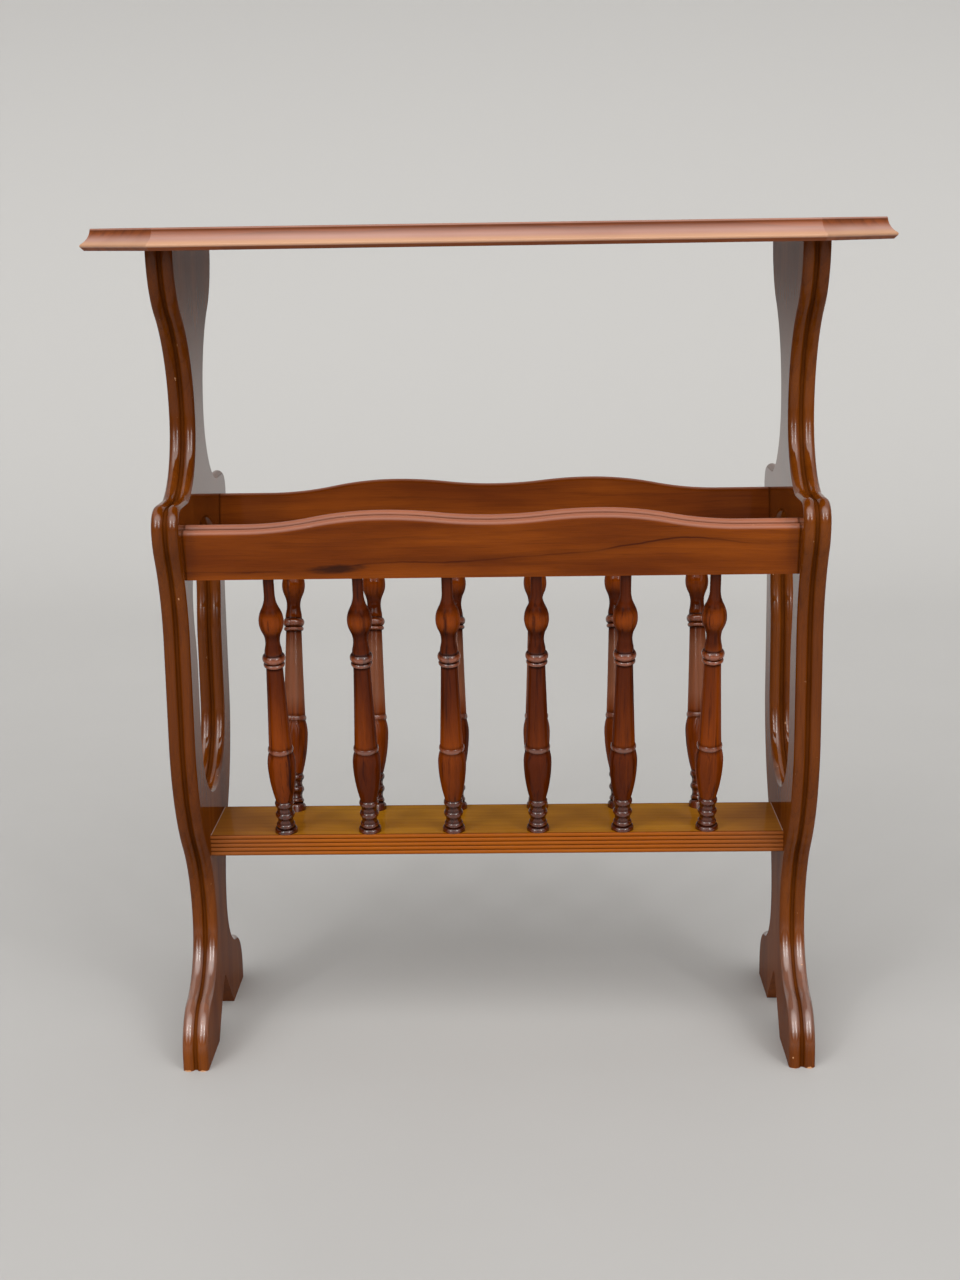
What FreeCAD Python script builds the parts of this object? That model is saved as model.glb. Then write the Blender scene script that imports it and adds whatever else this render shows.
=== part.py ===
import FreeCAD, Part
import math
import os

# Magazine table with a spindled rack between two scroll-cut end panels.
# Millimetres. X runs along the length, Y from front to back, Z up.
# The origin is the middle of the footprint, on the floor.
Vector = FreeCAD.Vector

# Frame of the table
SPAN = 430.0                     # clear length between the two end panels
PANEL_THICKNESS = 19.0

# End panel outline, stacked from the floor up
FOOT_HALF_DEPTH = 94.0
TOE_HEIGHT = 12.0                # upright front of each foot
ANKLE_HEIGHT = 92.0
ANKLE_HALF_DEPTH = 27.5
CALF_LENGTH = 158.0              # from the ankle up to the straight side
SIDE_LENGTH = 72.0               # straight side beside the cut-out
SIDE_HALF_DEPTH = 87.0
SHOULDER_RISE = 86.0             # from the straight side up to the widest place
SHOULDER_HALF_DEPTH = 112.0
SHOULDER_ROUND = 17.0
NECK_RISE = 53.0                 # from the flat of the shoulder up to the neck
NECK_HALF_DEPTH = 22.0
NECK_LOWER_RADIUS = 54.0
CREASE_RADIUS = 3.0              # where the neck meets the flat of the shoulder
HEAD_RISE = 120.0                # from the neck up to the underside of the top
HEAD_HALF_DEPTH = 84.0
HEAD_SHARE = 0.40                # how much of each S curve belongs to its upper arc
SHOULDER_SHARE = 0.25
CALF_SHARE = 0.59
FOOT_SHARE = 0.56
ARCH_HALF_SPAN = 39.0            # opening between the feet
ARCH_HEIGHT = 38.0
ARCH_CROWN_RADIUS = 8.0

# Cut-out in the end panel
CUTOUT_ABOVE_SHELF = 29.0
CUTOUT_HALF_DEPTH = 53.0
CUTOUT_BELOW_SHOULDER = 8.6
CUTOUT_HEAD_RISE = 50.0          # height of the flat arch that closes it
CUTOUT_CORNER_RADIUS = 30.0
CUTOUT_FLARE_LENGTH = 53.0       # over which it widens towards its head
CUTOUT_FLARE_SHARE = 0.5
CUTOUT_RIM_AT_RAIL = 9.0        # wood left between the cut-out and the rail

# Moulded edge: two beads with a flat groove between them
BEAD_HEIGHT = 3.0
BEAD_GROOVE = 1.8
STOCK_ALLOWANCE = 0.4            # what the moulding cutter takes off the sawn edge
CUTTER_MARGIN = 1.2

# Table top: an oblong with canted corners and a cove moulding
TOP_LENGTH = 564.0
TOP_DEPTH = 244.0
TOP_CANT = 57.0
TOP_FILLET = 1.4
TOP_COVE_HEIGHT = 9.0
TOP_COVE_DEPTH = 6.2
TOP_COVE_SAG = 1.3               # how far the cove bows in from its chord
TOP_NOSE_HEIGHT = 2.6
TOP_NOSE_BULGE = 0.8
TOP_UNDER_CHAMFER = 2.0

# Bottom shelf with reeded long edges
SHELF_ABOVE_ANKLE = 57.0
SHELF_THICKNESS = 16.0
SHELF_DEPTH = 75.0
SHELF_REEDS = 5
SHELF_REED_BULGE = 1.0

# Rack: two rails that lean outwards on turned spindles
RAIL_BELOW_SHOULDER = 36.4       # lower edge of the rail under the widest place
RACK_FOOT_HALF_GAP = 28.6        # spindle axis at the shelf
RACK_TOP_HALF_GAP = 78.2         # spindle axis at the rail
RAIL_THICKNESS = 18.0
RAIL_END_HEIGHT = 36.6
RAIL_FLAT_END = 40.0
RAIL_HUMP_PLACE = 76.0
RAIL_HUMP_RISE = 9.8
RAIL_DIP_RISE = 5.4
RAIL_WAVE_SHARE = 0.5
RAIL_BEAD_HEIGHT = 3.4
RAIL_BEAD_GROOVE = 1.8
SPINDLES_PER_SIDE = 6
SPINDLE_END_GAP = 56.5           # from the panel to the first spindle axis

# Turned spindle: lengths along its axis and radii, from the shelf up
BASE_RADIUS = 8.5
BASE_LENGTH = 5.0
BASE_ROUND = 2.8                 # length of its rounded upper edge
BASE_ROUND_FALL = 0.4            # how far that round has come in at half its length
TIER_RADIUS = 7.0                # low ring on top of the base
TIER_LENGTH = 3.6
COVE_RADIUS = 5.7
COVE_LENGTH = 4.7
RING_SEAT_RADIUS = 6.1
RING_RADIUS = 7.2
RING_LENGTH = 4.8
FOOT_RINGS = 2
URN_FOOT_RADIUS = 6.4
URN_FOOT_LENGTH = 1.2
URN_RADIUS = 10.4
URN_MIDDLE_RADIUS = 9.4
URN_LENGTH = 31.2
URN_SHOULDER = 9.4
URN_SHOULDER_FALL = 0.5
COLLAR_SEAT_RADIUS = 8.7
COLLAR_RADIUS = 9.4
COLLAR_LENGTH = 4.2
COLUMN_FOOT_RADIUS = 8.5
COLUMN_MIDDLE_RADIUS = 7.2
COLUMN_TOP_RADIUS = 6.1
HEAD_SEAT_RADIUS = 6.5
LOW_RING_RADIUS = 7.8
LOW_RING_LENGTH = 3.4
HIGH_RING_RADIUS = 8.4
HIGH_RING_LENGTH = 6.6
THROAT_RADIUS = 5.3
THROAT_LENGTH = 10.0
THROAT_SHARE = 0.5
BULB_RADIUS = 9.0
BULB_RISE = 16.0
BULB_RISE_SHARE = 0.5
BULB_TAPER = 21.0
BULB_TAPER_SHARE = 0.45
TIP_RADIUS = 3.9
TIP_LENGTH = 15.5                # straight neck under the rail
FOOT_TENON_DIAMETER = 9.0
FOOT_TENON_LENGTH = 11.0
RAIL_TENON_DIAMETER = 6.5
RAIL_TENON_LENGTH = 14.0

# Hidden dowels
FIT_CLEARANCE = 0.05             # on the radius of every dowel and tenon
GLUE_SPACE = 0.5                 # at the bottom of every blind hole
DOWEL_CHAMFER = 0.8
PANEL_SKIN = 7.0                 # wood left behind a blind hole in a panel
TOP_SKIN = 5.5
RAIL_DOWEL_DIAMETER = 6.0
RAIL_DOWEL_REACH = 16.0
RAIL_DOWEL_INSET = 10.0
SHELF_DOWEL_DIAMETER = 8.0
SHELF_DOWEL_REACH = 18.0
SHELF_DOWEL_INSET = 17.5
TOP_DOWEL_DIAMETER = 8.0
TOP_DOWEL_REACH = 20.0
TOP_DOWEL_INSET = 30.0
TOP_DOWELS_PER_PANEL = 3

# Places that follow from the sizes above
inner_face = SPAN / 2
panel_middle = inner_face + PANEL_THICKNESS / 2
side_low = ANKLE_HEIGHT + CALF_LENGTH
side_high = side_low + SIDE_LENGTH
shoulder_height = side_high + SHOULDER_RISE
shoulder_flat = shoulder_height + SHOULDER_ROUND
neck_height = shoulder_flat + NECK_RISE
panel_height = neck_height + HEAD_RISE
top_thickness = TOP_FILLET + TOP_COVE_HEIGHT + TOP_NOSE_HEIGHT + TOP_UNDER_CHAMFER
shelf_bottom = ANKLE_HEIGHT + SHELF_ABOVE_ANKLE
shelf_top = shelf_bottom + SHELF_THICKNESS
shelf_middle = shelf_bottom + SHELF_THICKNESS / 2
rail_bottom = shoulder_height - RAIL_BELOW_SHOULDER
cutout_bottom = shelf_top + CUTOUT_ABOVE_SHELF
cutout_top = shoulder_height - CUTOUT_BELOW_SHOULDER
lean = math.atan2(RACK_TOP_HALF_GAP - RACK_FOOT_HALF_GAP, rail_bottom - shelf_top)
spindle_length = (rail_bottom - shelf_top) / math.cos(lean)
spindle_pitch = (SPAN - 2 * SPINDLE_END_GAP) / (SPINDLES_PER_SIDE - 1)
panel_hole_depth = PANEL_THICKNESS - PANEL_SKIN
top_hole_depth = top_thickness - TOP_SKIN


def arc(first, middle, last):
    return Part.Arc(first, middle, last).toShape()


def line(first, last):
    return Part.LineSegment(first, last).toShape()


def s_curve(first, last, along, share):
    """Two tangent arcs from first to last, both ends running in the direction along."""
    step = last - first
    run = step.dot(along)
    offset = step - along * run
    side = Vector(offset).normalize()
    turn = 2 * math.atan2(offset.Length, run)
    radii = run / math.sin(turn)
    upper = radii * share
    lower = radii - upper

    def bend(radius, angle):
        return along * (radius * math.sin(angle)) + side * (radius * (1 - math.cos(angle)))

    joint = first + bend(upper, turn)
    return [arc(first, first + bend(upper, turn / 2), joint),
            arc(joint, last - bend(lower, turn / 2), last)]


def mirrored(shape, normal):
    return shape.mirror(Vector(0, 0, 0), normal)


def edge_cutter(path, start, outward, thickness, bead_height, groove):
    """What a moulding cutter removes along a path: all that lies outside two beads and a groove."""
    across = Vector(0, 0, 1)

    def at(out, over):
        return start + outward * (out - STOCK_ALLOWANCE) + across * over

    half = thickness / 2
    wide = half + CUTTER_MARGIN
    high = STOCK_ALLOWANCE + CUTTER_MARGIN
    crest = (half + groove / 2) / 2
    section = [
        line(at(-bead_height, groove / 2), at(-bead_height, -groove / 2)),
        arc(at(-bead_height, -groove / 2), at(0, -crest), at(-bead_height, -half)),
        line(at(-bead_height, -half), at(-bead_height, -wide)),
        line(at(-bead_height, -wide), at(high, -wide)),
        line(at(high, -wide), at(high, wide)),
        line(at(high, wide), at(-bead_height, wide)),
        line(at(-bead_height, wide), at(-bead_height, half)),
        arc(at(-bead_height, half), at(0, crest), at(-bead_height, groove / 2)),
    ]
    sweep = Part.BRepOffsetAPI.MakePipeShell(Part.Wire(path))
    sweep.setBiNormalMode(across)
    sweep.add(Part.Wire(section))
    sweep.build()
    sweep.makeSolid()
    return sweep.shape()


def blind_hole(mouth, direction, diameter, depth):
    return Part.makeCylinder(diameter / 2 + FIT_CLEARANCE, depth, mouth, direction)


def dowel(start, direction, diameter, length):
    """A wooden peg with chamfered ends."""
    radius = diameter / 2
    small = radius - DOWEL_CHAMFER
    corners = [(0, 0), (small, 0), (radius, DOWEL_CHAMFER), (radius, length - DOWEL_CHAMFER),
               (small, length), (0, length), (0, 0)]
    outline = Part.makePolygon([Vector(x, 0, z) for x, z in corners])
    peg = Part.Face(outline).revolve(Vector(0, 0, 0), Vector(0, 0, 1), 360)
    peg.Placement = FreeCAD.Placement(start, FreeCAD.Rotation(Vector(0, 0, 1), direction))
    return peg


# Where the dowels enter, for the end or panel at a given X
def rail_dowel_places(x):
    heights = (RAIL_DOWEL_INSET, RAIL_END_HEIGHT - RAIL_DOWEL_INSET)
    return [Vector(x, side * (RACK_TOP_HALF_GAP + up * math.sin(lean)), rail_bottom + up * math.cos(lean))
            for side in (-1, 1) for up in heights]


def shelf_dowel_places(x):
    reach = SHELF_DEPTH / 2 - SHELF_DOWEL_INSET
    return [Vector(x, side * reach, shelf_middle) for side in (-1, 1)]


def top_dowel_places(x):
    reach = HEAD_HALF_DEPTH - TOP_DOWEL_INSET
    step = 2 * reach / (TOP_DOWELS_PER_PANEL - 1)
    return [Vector(x, index * step - reach, panel_height) for index in range(TOP_DOWELS_PER_PANEL)]


# End panels, drawn flat: the first axis is depth, the second is height
def panel_side():
    """Rear edge of the panel from the top down to the floor, as tangent lines and arcs."""
    down = Vector(0, -1, 0)
    head = Vector(HEAD_HALF_DEPTH, panel_height, 0)
    neck = Vector(NECK_HALF_DEPTH, neck_height, 0)
    shoulder = Vector(SHOULDER_HALF_DEPTH, shoulder_height, 0)
    high = Vector(SIDE_HALF_DEPTH, side_high, 0)
    low = Vector(SIDE_HALF_DEPTH, side_low, 0)
    ankle = Vector(ANKLE_HALF_DEPTH, ANKLE_HEIGHT, 0)
    toe = Vector(FOOT_HALF_DEPTH, TOE_HEIGHT, 0)
    foot = Vector(FOOT_HALF_DEPTH, 0, 0)

    hollow = Vector(NECK_HALF_DEPTH + NECK_LOWER_RADIUS, neck_height, 0)
    reach = NECK_LOWER_RADIUS - CREASE_RADIUS
    fall = NECK_RISE - CREASE_RADIUS
    crease = hollow + Vector(-math.sqrt(reach ** 2 - fall ** 2), -fall, 0)
    turn = math.asin(fall / reach)

    def on_hollow(angle):
        return hollow + Vector(-math.cos(angle), -math.sin(angle), 0) * NECK_LOWER_RADIUS

    def on_crease(angle):
        return crease + Vector(-math.cos(angle), -math.sin(angle), 0) * CREASE_RADIUS

    flat_start = on_crease(math.pi / 2)
    round_centre = shoulder - Vector(SHOULDER_ROUND, 0, 0)
    flat_end = round_centre + Vector(0, SHOULDER_ROUND, 0)
    round_middle = round_centre + Vector(1, 1, 0).normalize() * SHOULDER_ROUND
    edges = s_curve(head, neck, down, HEAD_SHARE)
    edges += [arc(neck, on_hollow(turn / 2), on_hollow(turn))]
    edges += [arc(on_hollow(turn), on_crease((turn + math.pi / 2) / 2), flat_start)]
    edges += [line(flat_start, flat_end), arc(flat_end, round_middle, shoulder)]
    edges += s_curve(shoulder, high, down, SHOULDER_SHARE)
    edges += [line(high, low)]
    edges += s_curve(low, ankle, down, CALF_SHARE)
    edges += s_curve(ankle, toe, down, FOOT_SHARE)
    edges += [line(toe, foot)]
    return edges


def panel_underside():
    """From the rear toe along the floor and up to the crown of the arch between the feet."""
    foot = Vector(FOOT_HALF_DEPTH, 0, 0)
    heel = Vector(ARCH_HALF_SPAN, 0, 0)
    centre = Vector(0, ARCH_HEIGHT - ARCH_CROWN_RADIUS, 0)
    crown = Vector(0, ARCH_HEIGHT, 0)
    towards = heel - centre
    angle = math.atan2(towards.y, towards.x) + math.acos(ARCH_CROWN_RADIUS / towards.Length)

    def on_crown(turn):
        return centre + Vector(math.cos(turn), math.sin(turn), 0) * ARCH_CROWN_RADIUS

    return [line(foot, heel), line(heel, on_crown(angle)),
            arc(on_crown(angle), on_crown((angle + math.pi / 2) / 2), crown)]


def cutout_side():
    """Rear half of the cut-out from its lowest point up to the top of its flat arch."""
    up = Vector(0, 1, 0)
    head_half_depth = RACK_TOP_HALF_GAP - RAIL_THICKNESS / 2 - CUTOUT_RIM_AT_RAIL
    spring_height = cutout_top - CUTOUT_HEAD_RISE
    lowest = Vector(0, cutout_bottom, 0)
    bowl = Vector(0, cutout_bottom + CUTOUT_HALF_DEPTH, 0)
    side = bowl + Vector(CUTOUT_HALF_DEPTH, 0, 0)
    flare = Vector(CUTOUT_HALF_DEPTH, spring_height - CUTOUT_FLARE_LENGTH, 0)
    spring = Vector(head_half_depth, spring_height, 0)
    crown = Vector(0, cutout_top, 0)

    corner = spring - Vector(CUTOUT_CORNER_RADIUS, 0, 0)
    spread = head_half_depth ** 2 + CUTOUT_HEAD_RISE ** 2 - 2 * head_half_depth * CUTOUT_CORNER_RADIUS
    crown_radius = spread / (2 * (CUTOUT_HEAD_RISE - CUTOUT_CORNER_RADIUS))
    centre = crown - Vector(0, crown_radius, 0)
    meet = math.atan2(corner.y - centre.y, corner.x - centre.x)

    def point(middle, radius, angle):
        return middle + Vector(math.cos(angle), math.sin(angle), 0) * radius

    joint = point(corner, CUTOUT_CORNER_RADIUS, meet)
    edges = [arc(lowest, point(bowl, CUTOUT_HALF_DEPTH, -math.pi / 4), side), line(side, flare)]
    edges += s_curve(flare, spring, up, CUTOUT_FLARE_SHARE)
    edges += [arc(spring, point(corner, CUTOUT_CORNER_RADIUS, meet / 2), joint)]
    edges += [arc(joint, point(centre, crown_radius, (meet + math.pi / 2) / 2), crown)]
    return edges


def both_halves(edges):
    return edges + [mirrored(edge, Vector(1, 0, 0)) for edge in edges]


def face_of(edges):
    return Part.Face(Part.Wire(Part.__sortEdges__(edges)))


def end_panel():
    """The right-hand panel: a sawn board with moulded edges, then stood up in its place."""
    side = panel_side()
    head_line = line(Vector(-HEAD_HALF_DEPTH, panel_height, 0), Vector(HEAD_HALF_DEPTH, panel_height, 0))
    board = face_of(both_halves(side + panel_underside()) + [head_line])
    hole_side = cutout_side()
    board = board.cut(face_of(both_halves(hole_side)))
    board.translate(Vector(0, 0, -PANEL_THICKNESS / 2))
    board = board.extrude(Vector(0, 0, PANEL_THICKNESS))

    above = Vector(HEAD_HALF_DEPTH, panel_height + CUTTER_MARGIN, 0)
    head = Vector(HEAD_HALF_DEPTH, panel_height, 0)
    foot = Vector(FOOT_HALF_DEPTH, 0, 0)
    below = foot - Vector(0, CUTTER_MARGIN, 0)
    long_path = [line(above, head)] + side + [line(foot, below)]
    outer = edge_cutter(long_path, above, Vector(1, 0, 0), PANEL_THICKNESS, BEAD_HEIGHT, BEAD_GROOVE)
    lowest = Vector(0, cutout_bottom, 0)
    inner = edge_cutter(hole_side, lowest, Vector(0, 1, 0), PANEL_THICKNESS, BEAD_HEIGHT, BEAD_GROOVE)
    for cutter in (outer, inner):
        board = board.cut([cutter, mirrored(cutter, Vector(1, 0, 0))])

    upright = FreeCAD.Rotation(Vector(0, 1, 0), Vector(0, 0, 1), Vector(1, 0, 0), "XYZ")
    board.Placement = FreeCAD.Placement(Vector(panel_middle, 0, 0), upright)
    outwards = Vector(1, 0, 0)
    holes = [blind_hole(place, outwards, RAIL_DOWEL_DIAMETER, panel_hole_depth)
             for place in rail_dowel_places(inner_face)]
    holes += [blind_hole(place, outwards, SHELF_DOWEL_DIAMETER, panel_hole_depth)
              for place in shelf_dowel_places(inner_face)]
    holes += [blind_hole(place, Vector(0, 0, -1), TOP_DOWEL_DIAMETER, TOP_DOWEL_REACH + GLUE_SPACE)
              for place in top_dowel_places(panel_middle)]
    return board.cut(holes)


# Table top
def table_top():
    """The moulding carried round eight sides: what four long mouldings at 45 degrees share."""
    under = panel_height
    nose_low = under + TOP_UNDER_CHAMFER
    nose_high = nose_low + TOP_NOSE_HEIGHT
    cove_high = nose_high + TOP_COVE_HEIGHT
    surface = cove_high + TOP_FILLET
    long_enough = TOP_LENGTH + TOP_DEPTH

    def moulding(half_width, angle):
        edge = half_width - TOP_NOSE_BULGE
        fillet = edge - TOP_COVE_DEPTH
        halfway = (Vector(edge, 0, nose_high) + Vector(fillet, 0, cove_high)) * 0.5
        hollow = halfway - Vector(TOP_COVE_HEIGHT, 0, TOP_COVE_DEPTH).normalize() * TOP_COVE_SAG
        side = [
            line(Vector(edge - TOP_UNDER_CHAMFER, 0, under), Vector(edge, 0, nose_low)),
            arc(Vector(edge, 0, nose_low), Vector(half_width, 0, (nose_low + nose_high) / 2),
                Vector(edge, 0, nose_high)),
            arc(Vector(edge, 0, nose_high), hollow, Vector(fillet, 0, cove_high)),
            line(Vector(fillet, 0, cove_high), Vector(fillet, 0, surface)),
        ]
        flats = [line(Vector(-fillet, 0, surface), Vector(fillet, 0, surface)),
                 line(Vector(TOP_UNDER_CHAMFER - edge, 0, under), Vector(edge - TOP_UNDER_CHAMFER, 0, under))]
        bar = face_of(both_halves(side) + flats).extrude(Vector(0, 2 * long_enough, 0))
        bar.translate(Vector(0, -long_enough, 0))
        bar.rotate(Vector(0, 0, 0), Vector(0, 0, 1), angle)
        return bar

    across_corners = (TOP_LENGTH / 2 + TOP_DEPTH / 2 - TOP_CANT) / math.sqrt(2)
    top = moulding(TOP_LENGTH / 2, 0)
    for half_width, angle in ((TOP_DEPTH / 2, 90), (across_corners, 45), (across_corners, -45)):
        top = top.common(moulding(half_width, angle))
    holes = [blind_hole(place, Vector(0, 0, 1), TOP_DOWEL_DIAMETER, top_hole_depth)
             for x in (-panel_middle, panel_middle) for place in top_dowel_places(x)]
    return top.cut(holes)


# Rack
def spindle_places():
    first = SPINDLE_END_GAP - inner_face
    return [first + index * spindle_pitch for index in range(SPINDLES_PER_SIDE)]


def leaning_front(x):
    """Foot of a front spindle on the shelf, and the direction of its axis."""
    return Vector(x, -RACK_FOOT_HALF_GAP, shelf_top), Vector(0, -math.sin(lean), math.cos(lean))


def front_rail():
    """A board with a serpentine double-beaded top edge, leaned outwards onto its spindles."""
    across = Vector(1, 0, 0)
    end = Vector(-inner_face, RAIL_END_HEIGHT, 0)
    flat = end + Vector(RAIL_FLAT_END, 0, 0)
    hump = Vector(-RAIL_HUMP_PLACE, RAIL_END_HEIGHT + RAIL_HUMP_RISE, 0)
    dip = Vector(0, RAIL_END_HEIGHT + RAIL_DIP_RISE, 0)
    wave = [line(end, flat)]
    wave += s_curve(flat, hump, across, RAIL_WAVE_SHARE)
    wave += s_curve(hump, dip, across, RAIL_WAVE_SHARE)
    corner = Vector(-inner_face, 0, 0)
    outline = both_halves(wave + [line(corner, end)]) + [line(corner, Vector(inner_face, 0, 0))]
    board = face_of(outline)
    board.translate(Vector(0, 0, -RAIL_THICKNESS / 2))
    board = board.extrude(Vector(0, 0, RAIL_THICKNESS))
    beyond = end - Vector(CUTTER_MARGIN, 0, 0)
    cutter = edge_cutter([line(beyond, end)] + wave, beyond, Vector(0, 1, 0),
                         RAIL_THICKNESS, RAIL_BEAD_HEIGHT, RAIL_BEAD_GROOVE)
    board = board.cut([cutter, mirrored(cutter, across)])

    seat = Vector(0, -RACK_TOP_HALF_GAP, rail_bottom)
    board.Placement = FreeCAD.Placement(seat, FreeCAD.Rotation(across, 90 + math.degrees(lean)))
    holes = []
    for x in spindle_places():
        foot, axis = leaning_front(x)
        mouth = foot + axis * spindle_length
        holes.append(blind_hole(mouth, axis, RAIL_TENON_DIAMETER, RAIL_TENON_LENGTH + GLUE_SPACE))
    for place in rail_dowel_places(inner_face):
        if place.y < 0:
            hole = blind_hole(place, -across, RAIL_DOWEL_DIAMETER, RAIL_DOWEL_REACH + GLUE_SPACE)
            holes += [hole, mirrored(hole, across)]
    return board.cut(holes)


def bottom_shelf():
    """A board with reeded front and back edges, bored for the spindles and the end dowels."""
    reed = SHELF_THICKNESS / SHELF_REEDS
    crest = SHELF_DEPTH / 2
    valley = crest - SHELF_REED_BULGE

    def reeds(side):
        edges = []
        for index in range(SHELF_REEDS):
            low = shelf_bottom + index * reed
            edges.append(arc(Vector(0, side * valley, low), Vector(0, side * crest, low + reed / 2),
                             Vector(0, side * valley, low + reed)))
        return edges

    flats = [line(Vector(0, -valley, z), Vector(0, valley, z)) for z in (shelf_bottom, shelf_top)]
    board = face_of(reeds(-1) + reeds(1) + flats).extrude(Vector(SPAN, 0, 0))
    board.translate(Vector(-inner_face, 0, 0))
    holes = []
    for x in spindle_places():
        foot, axis = leaning_front(x)
        above = foot + axis * FOOT_TENON_DIAMETER
        bore = blind_hole(above, -axis, FOOT_TENON_DIAMETER,
                          FOOT_TENON_DIAMETER + FOOT_TENON_LENGTH + GLUE_SPACE)
        holes += [bore, mirrored(bore, Vector(0, 1, 0))]
    for place in shelf_dowel_places(inner_face):
        hole = blind_hole(place, Vector(-1, 0, 0), SHELF_DOWEL_DIAMETER, SHELF_DOWEL_REACH + GLUE_SPACE)
        holes += [hole, mirrored(hole, Vector(1, 0, 0))]
    return board.cut(holes)


def spindle_profile(skirt):
    """Half section of a spindle from a plain skirt below the shelf up to the end of its upper tenon."""
    along = Vector(0, 0, 1)
    edges = []
    place = Vector(0, 0, -skirt)

    def run_to(radius, height):
        nonlocal place
        target = Vector(radius, 0, height)
        if (target - place).Length > 0:
            edges.append(line(place, target))
        place = target

    def round_to(radius, length, middle_radius):
        nonlocal place
        target = Vector(radius, 0, place.z + length)
        middle = Vector(middle_radius, 0, place.z + length / 2)
        edges.append(arc(place, middle, target))
        place = target

    def ring(seat, radius, length):
        run_to(seat, place.z)
        round_to(seat, length, radius)

    def swell_to(radius, length, share):
        nonlocal place
        target = Vector(radius, 0, place.z + length)
        edges.extend(s_curve(place, target, along, share))
        place = target

    run_to(BASE_RADIUS, -skirt)
    run_to(BASE_RADIUS, BASE_LENGTH - BASE_ROUND)
    round_to(RING_SEAT_RADIUS, BASE_ROUND, BASE_RADIUS - BASE_ROUND_FALL)
    ring(RING_SEAT_RADIUS, TIER_RADIUS, TIER_LENGTH)
    for _ in range(FOOT_RINGS):
        round_to(RING_SEAT_RADIUS, COVE_LENGTH, COVE_RADIUS)
        ring(RING_SEAT_RADIUS, RING_RADIUS, RING_LENGTH)
    run_to(URN_FOOT_RADIUS, place.z + URN_FOOT_LENGTH)
    round_to(URN_RADIUS, URN_LENGTH, URN_MIDDLE_RADIUS)
    round_to(COLLAR_SEAT_RADIUS, URN_SHOULDER, URN_RADIUS - URN_SHOULDER_FALL)
    ring(COLLAR_SEAT_RADIUS, COLLAR_RADIUS, COLLAR_LENGTH)
    run_to(COLUMN_FOOT_RADIUS, place.z)
    above_column = LOW_RING_LENGTH + HIGH_RING_LENGTH + THROAT_LENGTH + BULB_RISE + BULB_TAPER + TIP_LENGTH
    column_length = spindle_length - above_column - place.z
    round_to(COLUMN_TOP_RADIUS, column_length, COLUMN_MIDDLE_RADIUS)
    ring(HEAD_SEAT_RADIUS, LOW_RING_RADIUS, LOW_RING_LENGTH)
    ring(HEAD_SEAT_RADIUS, HIGH_RING_RADIUS, HIGH_RING_LENGTH)
    swell_to(THROAT_RADIUS, THROAT_LENGTH, THROAT_SHARE)
    swell_to(BULB_RADIUS, BULB_RISE, BULB_RISE_SHARE)
    swell_to(TIP_RADIUS, BULB_TAPER, BULB_TAPER_SHARE)
    run_to(TIP_RADIUS, spindle_length)
    run_to(RAIL_TENON_DIAMETER / 2, spindle_length)
    run_to(RAIL_TENON_DIAMETER / 2, spindle_length + RAIL_TENON_LENGTH)
    run_to(0, spindle_length + RAIL_TENON_LENGTH)
    run_to(0, -skirt)
    return edges


def front_spindle(x):
    """One turned spindle, leaned outwards, cut level with the shelf and given its round tenon."""
    foot, axis = leaning_front(x)
    base_width = 2 * BASE_RADIUS
    skirt = base_width * math.tan(lean)
    turning = face_of(spindle_profile(skirt)).revolve(Vector(0, 0, 0), Vector(0, 0, 1), 360)
    turning.Placement = FreeCAD.Placement(foot, FreeCAD.Rotation(Vector(0, 0, 1), axis))
    waste_size = 2 * base_width
    waste_corner = foot - Vector(waste_size / 2, waste_size / 2, waste_size)
    turning = turning.cut(Part.makeBox(waste_size, waste_size, waste_size, waste_corner))
    tenon_root = foot + axis * skirt
    tenon = Part.makeCylinder(FOOT_TENON_DIAMETER / 2, skirt + FOOT_TENON_LENGTH, tenon_root, -axis)
    return turning.fuse(tenon).removeSplitter()


# Dowels
def rail_dowels():
    length = RAIL_DOWEL_REACH + panel_hole_depth - GLUE_SPACE
    inwards = Vector(RAIL_DOWEL_REACH, 0, 0)
    pegs = [dowel(place - inwards, Vector(1, 0, 0), RAIL_DOWEL_DIAMETER, length)
            for place in rail_dowel_places(inner_face)]
    return Part.makeCompound(pegs + [mirrored(peg, Vector(1, 0, 0)) for peg in pegs])


def shelf_dowels():
    length = SHELF_DOWEL_REACH + panel_hole_depth - GLUE_SPACE
    inwards = Vector(SHELF_DOWEL_REACH, 0, 0)
    pegs = [dowel(place - inwards, Vector(1, 0, 0), SHELF_DOWEL_DIAMETER, length)
            for place in shelf_dowel_places(inner_face)]
    return Part.makeCompound(pegs + [mirrored(peg, Vector(1, 0, 0)) for peg in pegs])


def top_dowels():
    length = TOP_DOWEL_REACH + top_hole_depth - GLUE_SPACE
    downwards = Vector(0, 0, TOP_DOWEL_REACH)
    return Part.makeCompound([dowel(place - downwards, Vector(0, 0, 1), TOP_DOWEL_DIAMETER, length)
                              for x in (-panel_middle, panel_middle) for place in top_dowel_places(x)])


# All pieces by name
right_panel = end_panel()
rail = front_rail()
pieces = {
    "table_top": table_top(),
    "right_end_panel": right_panel,
    "left_end_panel": mirrored(right_panel, Vector(1, 0, 0)),
    "bottom_shelf": bottom_shelf(),
    "front_rail": rail,
    "back_rail": mirrored(rail, Vector(0, 1, 0)),
    "rail_dowels": rail_dowels(),
    "shelf_dowels": shelf_dowels(),
    "top_dowels": top_dowels(),
}
for number, x in enumerate(spindle_places(), start=1):
    spindle = front_spindle(x)
    pieces[f"front_spindle_{number}"] = spindle
    pieces[f"back_spindle_{number}"] = mirrored(spindle, Vector(0, 1, 0))

os.makedirs("parts", exist_ok=True)
for name, shape in pieces.items():
    shape.exportStep(f"parts/{name}.step")
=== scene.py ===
import math

import bmesh
import bpy
import numpy as np
from mathutils import Matrix, Vector


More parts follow.
